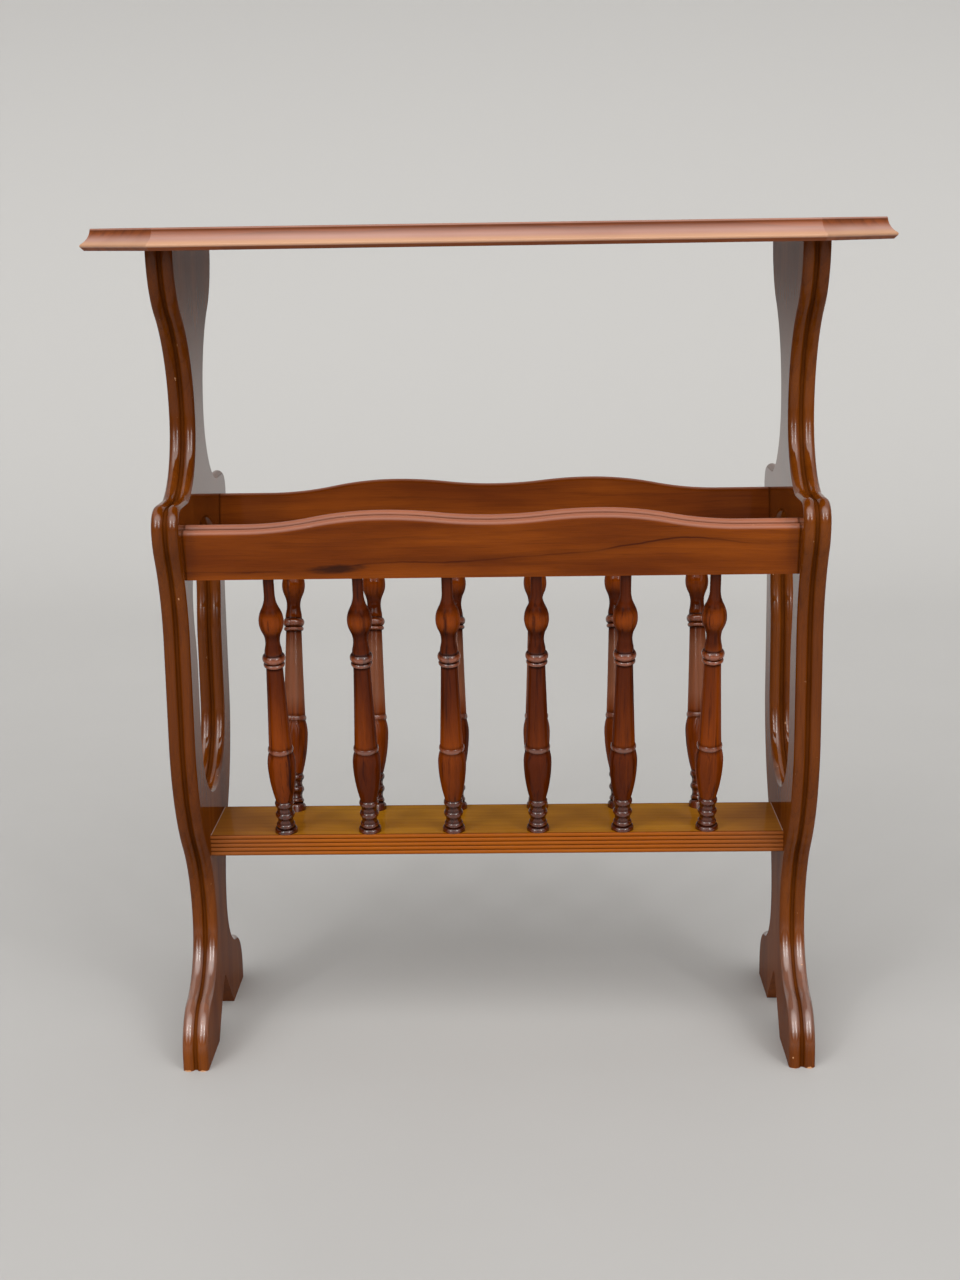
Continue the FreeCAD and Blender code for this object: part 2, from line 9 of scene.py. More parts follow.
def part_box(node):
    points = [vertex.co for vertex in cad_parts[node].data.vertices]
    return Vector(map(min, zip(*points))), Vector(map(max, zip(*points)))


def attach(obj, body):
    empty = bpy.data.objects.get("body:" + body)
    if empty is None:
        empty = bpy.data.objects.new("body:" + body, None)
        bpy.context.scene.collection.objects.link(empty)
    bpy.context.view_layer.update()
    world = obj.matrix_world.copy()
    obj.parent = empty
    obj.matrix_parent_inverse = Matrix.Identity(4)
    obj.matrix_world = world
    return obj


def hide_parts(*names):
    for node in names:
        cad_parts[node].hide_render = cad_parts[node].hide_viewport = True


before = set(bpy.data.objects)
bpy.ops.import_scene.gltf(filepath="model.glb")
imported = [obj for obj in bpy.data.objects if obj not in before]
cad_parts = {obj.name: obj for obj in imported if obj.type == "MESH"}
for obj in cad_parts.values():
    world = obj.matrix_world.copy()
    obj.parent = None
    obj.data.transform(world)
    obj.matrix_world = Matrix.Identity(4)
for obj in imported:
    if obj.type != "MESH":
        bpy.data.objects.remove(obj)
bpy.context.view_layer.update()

# Finished surfaces of a magazine table with a spindled rack.
# Sizes are in millimetres and go into the meshes in metres.
# X runs along the length, Y from front to back and Z up, with the floor at zero.
MM = 0.001
QUARTER = math.pi / 2
scene = bpy.context.scene


def box_of(node):
    """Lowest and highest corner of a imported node, in millimetres."""
    return [np.array(corner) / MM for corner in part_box(node)]


# Places given by the frame
panel_low, panel_high = box_of("right_end_panel")
shelf_low, shelf_high = box_of("bottom_shelf")
top_low, top_high = box_of("table_top")
inner_face = panel_low[0]
panel_thickness = panel_high[0] - panel_low[0]
panel_middle = inner_face + panel_thickness / 2
panel_height = top_low[2]
shelf_top = shelf_high[2]

# End panel outline, from the floor up
FOOT_HALF_DEPTH = 94.0
TOE_HEIGHT = 12.0
ANKLE_HEIGHT = 92.0
ANKLE_HALF_DEPTH = 27.5
CALF_LENGTH = 158.0
SIDE_LENGTH = 72.0
SIDE_HALF_DEPTH = 87.0
SHOULDER_RISE = 86.0
SHOULDER_HALF_DEPTH = 112.0
SHOULDER_ROUND = 17.0
NECK_RISE = 53.0
NECK_HALF_DEPTH = 22.0
NECK_LOWER_RADIUS = 54.0
CREASE_RADIUS = 3.0
HEAD_RISE = 120.0
HEAD_HALF_DEPTH = 84.0
HEAD_SHARE = 0.40
SHOULDER_SHARE = 0.25
CALF_SHARE = 0.59
FOOT_SHARE = 0.56
ARCH_HALF_SPAN = 39.0
ARCH_HEIGHT = 38.0
ARCH_CROWN_RADIUS = 8.0
shoulder_height = ANKLE_HEIGHT + CALF_LENGTH + SIDE_LENGTH + SHOULDER_RISE

# Cut-out in the end panel
CUTOUT_ABOVE_SHELF = 29.0
CUTOUT_HALF_DEPTH = 53.0
CUTOUT_BELOW_SHOULDER = 8.6
CUTOUT_HEAD_RISE = 50.0
CUTOUT_CORNER_RADIUS = 30.0
CUTOUT_FLARE_LENGTH = 53.0
CUTOUT_RIM_AT_RAIL = 9.0

# Moulded edges
BEAD_HEIGHT = 3.0
BEAD_GROOVE = 1.8
STOCK_ALLOWANCE = 0.4
RAIL_BEAD_HEIGHT = 3.4
RAIL_BEAD_GROOVE = 1.8
GLAZE_SPREAD = 0.9  # how far the dark glaze climbs out of a groove
JOINT_LINE = 1.2  # width of the dark or dusty line where a piece meets a panel

# Table top
TOP_CANT = 57.0
TOP_FILLET = 1.4
TOP_EASE = 0.6
TOP_COVE_HEIGHT = 9.0
TOP_COVE_DEPTH = 6.2
TOP_COVE_SAG = 1.3
TOP_NOSE_HEIGHT = 2.6
TOP_NOSE_BULGE = 0.8
TOP_UNDER_CHAMFER = 2.0

# Bottom shelf
SHELF_REEDS = 5
SHELF_REED_BULGE = 1.0

# Rack
RAIL_BELOW_SHOULDER = 36.4
RACK_FOOT_HALF_GAP = 28.6
RACK_TOP_HALF_GAP = 78.2
RAIL_THICKNESS = 18.0
RAIL_END_HEIGHT = 36.6
RAIL_FLAT_END = 40.0
RAIL_HUMP_PLACE = 76.0
RAIL_HUMP_RISE = 9.8
RAIL_DIP_RISE = 5.4
SPINDLES_PER_SIDE = 6
SPINDLE_END_GAP = 56.5
rail_bottom = shoulder_height - RAIL_BELOW_SHOULDER
lean = math.atan2(RACK_TOP_HALF_GAP - RACK_FOOT_HALF_GAP, rail_bottom - shelf_top)
spindle_length = (rail_bottom - shelf_top) / math.cos(lean)

# Turned spindle, from the shelf up
BASE_RADIUS = 8.5
BASE_LENGTH = 5.0
BASE_ROUND = 2.8
BASE_ROUND_FALL = 0.4
TIER_RADIUS = 7.0
TIER_LENGTH = 3.6
COVE_RADIUS = 5.7
COVE_LENGTH = 4.7
RING_SEAT_RADIUS = 6.1
RING_RADIUS = 7.2
RING_LENGTH = 4.8
FOOT_RINGS = 2
URN_FOOT_RADIUS = 6.4
URN_FOOT_LENGTH = 1.2
URN_RADIUS = 10.4
URN_MIDDLE_RADIUS = 9.4
URN_LENGTH = 31.2
URN_SHOULDER = 9.4
URN_SHOULDER_FALL = 0.5
COLLAR_SEAT_RADIUS = 8.7
COLLAR_RADIUS = 9.4
COLLAR_LENGTH = 4.2
COLUMN_FOOT_RADIUS = 8.5
COLUMN_MIDDLE_RADIUS = 7.2
COLUMN_TOP_RADIUS = 6.1
HEAD_SEAT_RADIUS = 6.5
LOW_RING_RADIUS = 7.8
LOW_RING_LENGTH = 3.4
HIGH_RING_RADIUS = 8.4
HIGH_RING_LENGTH = 6.6
THROAT_RADIUS = 5.3
THROAT_LENGTH = 10.0
BULB_RADIUS = 9.0
BULB_RISE = 16.0
BULB_TAPER = 21.0
BULB_TAPER_SHARE = 0.45
TIP_RADIUS = 3.9
TIP_LENGTH = 15.5
FOOT_TENON_RADIUS = 4.5
FOOT_TENON_LENGTH = 11.0
RAIL_TENON_RADIUS = 3.25
RAIL_TENON_LENGTH = 14.0
head_length = LOW_RING_LENGTH + HIGH_RING_LENGTH + THROAT_LENGTH + BULB_RISE + BULB_TAPER + TIP_LENGTH

# Dark heartwood line on the front rail: places along it and heights above its lower edge
HEART_PLACES = [-215, -125, -97, -73, -27, 34, 71, 121, 144, 175, 215]
HEART_HEIGHTS = [5.5, 6.5, 10, 12.5, 11.5, 16.5, 18.5, 28, 29, 24, 24]
HEART_EASE = 12.0  # reach of the running mean that rounds its bends
HEART_EASE_PLACES = 9

# Knot that the line runs into, by its middle above the floor
KNOT_PLACE = -109.0
KNOT_HEIGHT = 376.8
KNOT_HALF_LENGTH = 26.0
KNOT_HALF_HEIGHT = 4.0
KNOT_RISE = 1.5  # from its middle to its right end

# Marks that the meshes carry for their finishes
FOOT_MARKS_START = ANKLE_HEIGHT + 20  # where the shine and the painted sheen of the feet set in
FOOT_MARKS_FULL = ANKLE_HEIGHT - 20
FACING_UP = 0.5  # upward part of a normal that counts as facing up
BEAD_FOOT = 0.25  # share of a bead's rise over which its shine sets in
PANEL_POLISH = 0.6
FOOT_POLISH = 0.4  # added to it on the feet
# Pale colour on the upward-facing beads of the feet, a painted sheen
FOOT_PAINTED_SHEEN = 0.4
RAIL_POLISH = 0.35
FLAT_FADE = 0.3  # how faded the flat of the top is
COVE_PAINTED_SHADE = 0.6  # painted shade at the upper end of the cove in the rim, laid on as glaze
COVE_PAINTED_SHADE_END = 0.2  # share of the cove at which the painted shade ends
COVE_SHEEN = (1 / 6, 7 / 12)  # shares of the cove between which its painted sheen sets in
# least painted sheen anywhere in the cove
COVE_LEAST_SHEEN = 0.1
COVE_LIP_HIGHLIGHT = (0.65, 0.90)  # shares of the cove between which the painted highlight of the lip sets in
NOSE_FALL = (1.0, 0.5)  # shares of the nose at which the painted sheen and highlight have ended and are still full
REED_GLAZE = 0.7  # how far the glaze climbs up a reed
PALE_COLUMN_BLEND = 15.0  # length over which the paler column fades out at each end
CREASE_REACH = 1.8  # how far a ring shades the wood beside it
CREASE_DEPTH = 1.6  # depth below a ring at which the glaze is darkest
SWELL_TONE = 0.28  # how much paler the bulb of a turning is than its urn and column
RINGS_TONE = -0.8  # tone of the foot rings, as a share of that
COLLAR_HIGHLIGHT = 0.5  # how strongly the crests of the collars take a painted highlight
GRAIN_SHIFT = np.array([0.37, 0.211, 0.153])  # metres by which each seed moves the grain

# Fineness of the meshes, and what counts as an edge or as one point
TURN_STEP = math.radians(5)
RUN_STEP = 2.5
BEAD_STEPS = 20
SPINDLE_SIDES = 80
SHARP_ANGLE = math.radians(12)
MERGE_DISTANCE = 1e-6


# Ramps and plane curves
def ramp(values, start, end):
    """Zero at start and one at end, straight between them and level beyond."""
    return np.clip((values - start) / (end - start), 0, 1)


def trace(start, heading, moves):
    """Walks a plane curve. Each move (length, turn) adds an arc of that length that turns by that angle,
    or a straight run where the turn is zero. Gives the points and the normals on the left hand."""
    place = np.array(start, float)
    points = [place[None]]
    headings = [np.array([heading])]
    for length, turn in moves:
        count = max(math.ceil(abs(turn) / TURN_STEP), math.ceil(length / RUN_STEP))
        share = np.arange(1, count + 1) / count
        angle = heading + turn * share
        if abs(turn) < MERGE_DISTANCE:
            step = np.outer(length * share, [math.cos(heading), math.sin(heading)])
        else:
            swing = [np.sin(angle) - math.sin(heading), math.cos(heading) - np.cos(angle)]
            step = np.column_stack(swing) * (length / turn)
        points.append(place + step)
        headings.append(angle)
        place = points[-1][-1]
        heading += turn
    angle = np.concatenate(headings)
    return np.concatenate(points), np.column_stack([-np.sin(angle), np.cos(angle)])


def s_moves(run, offset, share=0.5):
    """Two tangent arcs that carry a path sideways by offset while it goes on by run, left being positive.
    Both turn by twice the angle of the straight line, and share splits the sum of their radii."""
    turn = 2 * math.atan2(abs(offset), run)
    radii = run / math.sin(turn)
    side = math.copysign(turn, offset)
    return [(radii * share * turn, side), (radii * (1 - share) * turn, -side)]


def bow(first, middle, last):
    """The arc through three places: its centre is where the two chords' bisectors cross."""
    first, middle, last = (np.array(place, float) for place in (first, middle, last))
    chords = np.array([middle - first, last - middle])
    halfway = np.array([first + middle, middle + last]) / 2
    centre = np.linalg.solve(chords, (chords * halfway).sum(1))
    angles = np.unwrap([math.atan2(*(place - centre)[::-1]) for place in (first, middle, last)])
    span = abs(angles[2] - angles[0])
    radius = np.linalg.norm(first - centre)
    count = max(4, math.ceil(span / TURN_STEP), math.ceil(span * radius / RUN_STEP))
    angle = np.linspace(angles[0], angles[2], count + 1)
    return centre + np.column_stack([np.cos(angle), np.sin(angle)]) * radius


def bead_section(thickness, bead, groove):
    """Section of a moulded edge, as places out of the wood and across the board: a round bead, a flat groove
    and the second bead. Each bead is the arc that rises by its height over half of what the groove leaves."""
    half_chord = (thickness - groove) / 4
    radius = (half_chord ** 2 + bead ** 2) / (2 * bead)
    reach = math.asin(half_chord / radius)
    angle = np.linspace(reach, -reach, BEAD_STEPS + 1)
    rise = radius * (np.cos(angle) - 1) - STOCK_ALLOWANCE
    crest = groove / 2 + half_chord
    over = radius * np.sin(angle)
    return np.r_[rise, rise], np.r_[crest + over, -crest + over]


def groove_glaze(over, groove):
    """How much dark glaze lies at each place across a moulded edge: all in the groove, less up the beads."""
    return ramp(np.abs(over), groove / 2 + GLAZE_SPREAD, groove / 2)


# Meshes
def grid_faces(rows, columns, closed=False):
    """Quads between neighbouring rows and columns of a grid of points, joined round where it is closed."""
    row = np.arange(rows - 1)[:, None] * columns
    column = np.arange(columns if closed else columns - 1)
    after = (column + 1) % columns
    corners = [row + column, row + after, row + columns + after, row + columns + column]
    return np.stack(corners, -1).reshape(-1, 4).tolist()


def tube_faces(rows, columns):
    """Faces of a closed tube of rings, with a flat one at each end."""
    last = (rows - 1) * columns
    ends = [list(range(columns)), list(range(last, last + columns))]
    return grid_faces(rows, columns, closed=True) + ends


def block(points, faces, **marks):
    """Points, faces and named values per point, ready to be joined with others."""
    points = np.asarray(points, float).reshape(-1, 3)
    return {"points": points, "faces": faces, "marks": marks}


def polygon(points, **marks):
    return block(points, [list(range(len(points)))], **marks)


def in_scene(data):
    """A new object in the scene for a mesh, lamp or camera."""
    shown = bpy.data.objects.new(data.name, data)
    scene.collection.objects.link(shown)
    return shown


def make_piece(node, blocks, material, grain_axes, seed, tone=0.0):
    """Joins blocks into one closed mesh that stands for a node. The grain value of a point is its place
    along, across and through the board, shifted by the seed so that no two pieces share their figure. The
    tone makes one piece paler or darker than another of the same wood, on top of the tones of its blocks."""
    points = np.concatenate([part["points"] for part in blocks]) * MM
    starts = np.cumsum([0] + [len(part["points"]) for part in blocks])
    faces = [[start + corner for corner in face]
             for part, start in zip(blocks, starts) for face in part["faces"]]
    mesh = bpy.data.meshes.new(node + "_finished")
    mesh.from_pydata(points, [], faces)
    for mark in sorted({"tone"}.union(*(part["marks"] for part in blocks))):
        values = [np.broadcast_to(part["marks"].get(mark, 0), len(part["points"])) for part in blocks]
        values = np.concatenate(values) + (tone if mark == "tone" else 0.0)
        mesh.attributes.new(mark, "FLOAT", "POINT").data.foreach_set("value", values)
    body = bmesh.new()
    body.from_mesh(mesh)
    bmesh.ops.remove_doubles(body, verts=body.verts, dist=MERGE_DISTANCE)
    bmesh.ops.recalc_face_normals(body, faces=body.faces)
    body.to_mesh(mesh)
    body.free()
    places = np.empty(len(mesh.vertices) * 3, np.float32)
    mesh.vertices.foreach_get("co", places)
    grain = places.reshape(-1, 3) @ np.array(grain_axes).T + seed * GRAIN_SHIFT
    mesh.attributes.new("grain", "FLOAT_VECTOR", "POINT").data.foreach_set("vector", grain.ravel())
    mesh.polygons.foreach_set("use_smooth", np.ones(len(mesh.polygons), bool))
    mesh.set_sharp_from_angle(angle=SHARP_ANGLE)
    mesh.materials.append(material)
    piece = in_scene(mesh)
    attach(piece, "root")
    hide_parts(node)


# End panels
def panel_side():
    """Rear edge from the table top down to the floor, walked with the wood on the right hand."""
    reach = NECK_LOWER_RADIUS - CREASE_RADIUS
    turn = math.asin((NECK_RISE - CREASE_RADIUS) / reach)
    crease = NECK_HALF_DEPTH + NECK_LOWER_RADIUS - reach * math.cos(turn)
    flat = SHOULDER_HALF_DEPTH - SHOULDER_ROUND - crease
    moves = s_moves(HEAD_RISE, NECK_HALF_DEPTH - HEAD_HALF_DEPTH, HEAD_SHARE)
    moves += [(NECK_LOWER_RADIUS * turn, turn), (CREASE_RADIUS * (QUARTER - turn), QUARTER - turn)]
    moves += [(flat, 0), (SHOULDER_ROUND * QUARTER, -QUARTER)]
    moves += s_moves(SHOULDER_RISE, SIDE_HALF_DEPTH - SHOULDER_HALF_DEPTH, SHOULDER_SHARE)
    moves += [(SIDE_LENGTH, 0)]
    moves += s_moves(CALF_LENGTH, ANKLE_HALF_DEPTH - SIDE_HALF_DEPTH, CALF_SHARE)
    moves += s_moves(ANKLE_HEIGHT - TOE_HEIGHT, FOOT_HALF_DEPTH - ANKLE_HALF_DEPTH, FOOT_SHARE)
    moves += [(TOE_HEIGHT, 0)]
    return trace((HEAD_HALF_DEPTH, panel_height), -QUARTER, moves)


def panel_arch():
    """From the rear heel up a straight slope to the rounded crown between the feet."""
    fall = ARCH_HEIGHT - ARCH_CROWN_RADIUS
    distance = math.hypot(ARCH_HALF_SPAN, fall)
    slope = math.acos(ARCH_CROWN_RADIUS / distance) - math.atan2(fall, ARCH_HALF_SPAN)
    run = math.sqrt(distance ** 2 - ARCH_CROWN_RADIUS ** 2)
    rest = QUARTER - slope
    moves = [(run, 0), (ARCH_CROWN_RADIUS * rest, rest)]
    return trace((ARCH_HALF_SPAN, 0), QUARTER + slope, moves)[0]


def panel_cutout():
    """Rear half of the cut-out, from its lowest point up to the top of its flat arch."""
    spread = RACK_TOP_HALF_GAP - RAIL_THICKNESS / 2 - CUTOUT_RIM_AT_RAIL
    lowest = shelf_top + CUTOUT_ABOVE_SHELF
    highest = shoulder_height - CUTOUT_BELOW_SHOULDER
    straight = highest - CUTOUT_HEAD_RISE - CUTOUT_FLARE_LENGTH - lowest - CUTOUT_HALF_DEPTH
    square = spread ** 2 + CUTOUT_HEAD_RISE ** 2 - 2 * spread * CUTOUT_CORNER_RADIUS
    crown = square / (2 * (CUTOUT_HEAD_RISE - CUTOUT_CORNER_RADIUS))
    corner = math.atan2(crown - CUTOUT_HEAD_RISE, spread - CUTOUT_CORNER_RADIUS)
    moves = [(CUTOUT_HALF_DEPTH * QUARTER, QUARTER), (straight, 0)]
    moves += s_moves(CUTOUT_FLARE_LENGTH, CUTOUT_HALF_DEPTH - spread)
    moves += [(CUTOUT_CORNER_RADIUS * corner, corner), (crown * (QUARTER - corner), QUARTER - corner)]
    return trace((0, lowest), 0, moves)


def panel_blocks():
    """The right-hand panel: its section carried down both long edges and round the cut-out,
    closed by flat faces, an arch, two soles and the top edge."""
    out, over = bead_section(panel_thickness, BEAD_HEIGHT, BEAD_GROOVE)
    glaze = groove_glaze(over, BEAD_GROOVE)
    crest = 1 + (out + STOCK_ALLOWANCE) / BEAD_HEIGHT
    half = panel_thickness / 2
    side, side_normal = panel_side()
    hole, hole_normal = panel_cutout()
    arch = panel_arch()

    def stand(plane, across, hand):
        """Plane points (depth, height) set at a place across the panel; hand turns rear into front."""
        plane, across = np.asarray(plane), np.asarray(across, float)
        depth = plane[..., 0] * hand
        return np.stack(np.broadcast_arrays(panel_middle + across, depth, plane[..., 1]), -1)

    blocks = []
    side_flat = side + side_normal * out[0]
    hole_flat = hole + hole_normal * out[0]
    top_middle = np.array([[0, panel_height]])
    for hand in (1, -1):
        for path, normal in ((side, side_normal), (hole, hole_normal)):
            surface = path[:, None] + normal[:, None] * out[None, :, None]
            rows, columns = surface.shape[:2]
            scuffed = crest + (path[:, 1:] < MERGE_DISTANCE)
            facing_up = np.outer(ramp(normal[:, 1], 0, FACING_UP), ramp(crest, 0, BEAD_FOOT))
            low = ramp(path[:, 1:], FOOT_MARKS_START, FOOT_MARKS_FULL)
            # On the upward-facing beads of the feet the pale mark below is a painted sheen.
            blocks.append(block(stand(surface, over[None], hand), grid_faces(rows, columns),
                                groove=np.tile(glaze, rows), edge=scuffed.ravel(),
                                polish=((PANEL_POLISH + FOOT_POLISH * low) * facing_up).ravel(),
                                dust=(FOOT_PAINTED_SHEEN * low * facing_up).ravel()))
        for across in (-half, half):
            outline = np.concatenate([side_flat, arch, hole_flat, top_middle])
            blocks.append(polygon(stand(outline, across, hand)))
        arch_surface = np.repeat(arch[:, None], 2, axis=1)
        blocks.append(block(stand(arch_surface, np.array([[-half, half]]), hand), grid_faces(len(arch), 2)))
        toe = stand(side[-1] + side_normal[-1] * out[:, None], over, hand)
        heel = stand(np.repeat(arch[:1], 2, axis=0), [-half, half], hand)
        blocks.append(polygon(np.concatenate([toe, heel]), groove=np.r_[glaze, 0, 0],
                              edge=np.r_[crest + 1, 0, 0]))
    rear, front = (stand(side[0] + side_normal[0] * out[:, None], over, hand) for hand in (1, -1))
    middle = stand(np.repeat(top_middle, 2, axis=0), [-half, half], 1)
    blocks.append(polygon(np.concatenate([rear, middle[:1], front[::-1], middle[1:]]),
                          groove=np.r_[glaze, 0, glaze[::-1], 0], edge=np.r_[crest, 0, crest[::-1], 0]))
    for part in blocks:
        part["marks"]["inner"] = (part["points"][:, 0] < inner_face + MERGE_DISTANCE).astype(float)
    return blocks


def turned_over(blocks, flips):
    """The same blocks mirrored in the axes that flips marks with -1."""
    return [dict(part, points=part["points"] * flips) for part in blocks]


# Table top
def top_blocks():
    """A section of insets and heights carried round eight sides: at each inset the corners are where the
    long sides, the ends and the canted sides cross."""
    under = panel_height
    nose_low = under + TOP_UNDER_CHAMFER
    nose_high = nose_low + TOP_NOSE_HEIGHT
    cove_high = nose_high + TOP_COVE_HEIGHT
    surface = cove_high + TOP_FILLET
    edge = TOP_NOSE_BULGE
    fillet = edge + TOP_COVE_DEPTH
    inwards = np.array([TOP_COVE_HEIGHT, -TOP_COVE_DEPTH]) / math.hypot(TOP_COVE_HEIGHT, TOP_COVE_DEPTH)
    halfway = np.array([edge + fillet, nose_high + cove_high]) / 2
    cove = bow((fillet, cove_high), halfway + inwards * TOP_COVE_SAG, (edge, nose_high))
    nose = bow((edge, nose_high), (0, (nose_high + nose_low) / 2), (edge, nose_low))
    eased = [(fillet + TOP_EASE, surface), (fillet, surface - TOP_EASE)]
    section = np.concatenate([eased, cove, nose[1:], [(edge + TOP_UNDER_CHAMFER, under)]])
    inset, height = section.T
    half_length = top_high[0] - inset
    half_depth = top_high[1] - inset
    across = (top_high[0] + top_high[1] - TOP_CANT) - inset * math.sqrt(2)
    x = np.stack([across - half_depth, half_length], -1)
    y = np.stack([half_depth, across - half_length], -1)
    ring_x = np.concatenate([x, x[:, ::-1], -x, -x[:, ::-1]], 1)
    ring_y = np.concatenate([y, -y[:, ::-1], -y, y[:, ::-1]], 1)
    ring_z = np.repeat(height[:, None], ring_x.shape[1], 1)
    rings = np.stack([ring_x, ring_y, ring_z], -1)
    cove_steps = np.linspace(0, 1, len(cove))
    nose_steps = np.linspace(0, 1, len(nose) - 1)
    # The cove is darkened under the fillet by painted shade and paled towards the lip by a painted sheen, and
    # the lip carries a painted highlight; the flat is faded evenly.
    shade = COVE_PAINTED_SHADE * ramp(cove_steps, COVE_PAINTED_SHADE_END, 0)
    shade = np.r_[0, 0, shade, nose_steps * 0, 0]
    fall = ramp(nose_steps, *NOSE_FALL)
    fade = np.maximum(COVE_LEAST_SHEEN, ramp(cove_steps, *COVE_SHEEN))
    faded = np.r_[FLAT_FADE, 1, fade, fall, 0]
    lip = np.r_[0, 0, ramp(cove_steps, *COVE_LIP_HIGHLIGHT), fall, 0]
    corners = rings.shape[1]
    sides = block(rings, grid_faces(len(section), corners, closed=True), groove=np.repeat(shade, corners),
                  faded=np.repeat(faded, corners), lip=np.repeat(lip, corners))
    return [sides, polygon(rings[0]), polygon(rings[-1])]


# Rack
def rail_wave():
    """Top edge of a rail from its left end to its right end: level, a hump, a dip in the middle and back."""
    moves = [(JOINT_LINE, 0), (RAIL_FLAT_END - JOINT_LINE, 0)]
    moves += s_moves(inner_face - RAIL_FLAT_END - RAIL_HUMP_PLACE, RAIL_HUMP_RISE)
    moves += s_moves(RAIL_HUMP_PLACE, RAIL_DIP_RISE - RAIL_HUMP_RISE)
    left = trace((-inner_face, RAIL_END_HEIGHT), 0, moves)[0]
    return np.concatenate([left, left[-2::-1] * [-1, 1]])


def rail_blocks():
    """The front rail: a board whose beaded top edge follows the wave, leaned out about its lower edge."""
    out, over = bead_section(RAIL_THICKNESS, RAIL_BEAD_HEIGHT, RAIL_BEAD_GROOVE)
    wave = rail_wave()
    half = RAIL_THICKNESS / 2
    across = np.r_[half, over, -half]
    height = np.concatenate([[[0]] * len(wave), wave[:, 1:] + out, [[0]] * len(wave)], 1)
    length = np.broadcast_to(wave[:, :1], height.shape)
    y = -RACK_TOP_HALF_GAP - height * math.sin(lean) - across * math.cos(lean)
    z = rail_bottom + height * math.cos(lean) - across * math.sin(lean)
    rings = np.stack([length, y, z], -1)
    rows, columns = height.shape
    glaze = np.pad(groove_glaze(over, RAIL_BEAD_GROOVE), 1)
    joint = np.abs(wave[:, :1]) > inner_face - MERGE_DISTANCE
    crest = np.pad(1 + (out + STOCK_ALLOWANCE) / RAIL_BEAD_HEIGHT, 1)
    heart = height - heart_line(wave[:, 0])[:, None]
    # The crest marks give the beads a painted highlight in the finish, and let them chip.
    return [block(rings, tube_faces(rows, columns), groove=np.maximum(glaze, joint).ravel(),
                  edge=np.tile(crest, rows), polish=np.tile(RAIL_POLISH * np.clip(crest, 0, 1), rows),
                  heart=heart.ravel() * MM)]


def heart_line(x):
    """Height of the heartwood line, straight between its places and eased by a short running mean."""
    reach = np.linspace(-HEART_EASE, HEART_EASE, HEART_EASE_PLACES)
    return np.interp(x[:, None] + reach, HEART_PLACES, HEART_HEIGHTS).mean(1)


# Bottom shelf
def shelf_blocks():
    """A board whose long edges are rows of round reeds, the section carried straight along the length."""
    reed = (shelf_high[2] - shelf_low[2]) / SHELF_REEDS
    crest = shelf_high[1]
    valley = crest - SHELF_REED_BULGE
    one = bow((valley, 0), (crest, reed / 2), (valley, reed))
    lows = shelf_low[2] + reed * np.arange(SHELF_REEDS)
    edge = (one[None] + np.stack([lows * 0, lows], -1)[:, None]).reshape(-1, 2)
    dark = np.pad(ramp(edge[:, 0], valley + REED_GLAZE, valley), 1)
    reeds = np.pad(np.ones(len(edge)), 1)
    flat = valley - JOINT_LINE
    edge = np.concatenate([[(flat, shelf_low[2])], edge, [(flat, shelf_high[2])]])
    section = np.concatenate([edge, edge[::-1] * [-1, 1]])
    dark, reeds = np.r_[dark, dark[::-1]], np.r_[reeds, reeds[::-1]]
    places = np.array([-inner_face, JOINT_LINE - inner_face, inner_face - JOINT_LINE, inner_face])
    dust = np.outer([1, 0, 0, 1], 1 - reeds).ravel()
    rings = np.stack(np.broadcast_arrays(places[:, None], section[None, :, 0], section[None, :, 1]), -1)
    return [block(rings, tube_faces(len(places), len(section)), groove=np.tile(dark, len(places)), dust=dust,
                  reeds=np.tile(reeds, len(places)))]


# Spindles
def turned_section():
    """Places along a spindle's axis and radii, from the shelf to its tip: lines, arcs through a middle
    radius, round rings on a seat, and S curves."""
    parts = [np.array([(BASE_LENGTH - BASE_ROUND, BASE_RADIUS)])]

    def here():
        return parts[-1][-1]

    def round_to(radius, length, middle_radius):
        along, start = here()
        parts.append(bow((along, start), (along + length / 2, middle_radius), (along + length, radius))[1:])

    def step_to(radius, length=0):
        if length > 0 or radius != here()[1]:
            parts.append(np.array([(here()[0] + length, radius)]))

    def ring(seat, radius, length):
        step_to(seat)
        round_to(seat, length, radius)

    def swell_to(radius, length, share=0.5):
        parts.append(trace(here(), 0, s_moves(length, radius - here()[1], share))[0][1:])

    round_to(RING_SEAT_RADIUS, BASE_ROUND, BASE_RADIUS - BASE_ROUND_FALL)
    ring(RING_SEAT_RADIUS, TIER_RADIUS, TIER_LENGTH)
    for _ in range(FOOT_RINGS):
        round_to(RING_SEAT_RADIUS, COVE_LENGTH, COVE_RADIUS)
        ring(RING_SEAT_RADIUS, RING_RADIUS, RING_LENGTH)
    step_to(URN_FOOT_RADIUS, URN_FOOT_LENGTH)
    round_to(URN_RADIUS, URN_LENGTH, URN_MIDDLE_RADIUS)
    round_to(COLLAR_SEAT_RADIUS, URN_SHOULDER, URN_RADIUS - URN_SHOULDER_FALL)
    ring(COLLAR_SEAT_RADIUS, COLLAR_RADIUS, COLLAR_LENGTH)
    step_to(COLUMN_FOOT_RADIUS)
    round_to(COLUMN_TOP_RADIUS, spindle_length - head_length - here()[0], COLUMN_MIDDLE_RADIUS)
    ring(HEAD_SEAT_RADIUS, LOW_RING_RADIUS, LOW_RING_LENGTH)
    ring(HEAD_SEAT_RADIUS, HIGH_RING_RADIUS, HIGH_RING_LENGTH)
    swell_to(THROAT_RADIUS, THROAT_LENGTH)
    swell_to(BULB_RADIUS, BULB_RISE)
    swell_to(TIP_RADIUS, BULB_TAPER, BULB_TAPER_SHARE)
    step_to(TIP_RADIUS, TIP_LENGTH)
    return np.concatenate(parts)


def crease_glaze(section):
    """Dark glaze in the creases of a turning: how far each place lies below the highest one close by."""
    along, radius = section.T
    near = np.abs(along[:, None] - along[None]) < CREASE_REACH
    highest = np.where(near, radius[None], 0).max(1)
    return ramp(highest - radius, 0, CREASE_DEPTH)


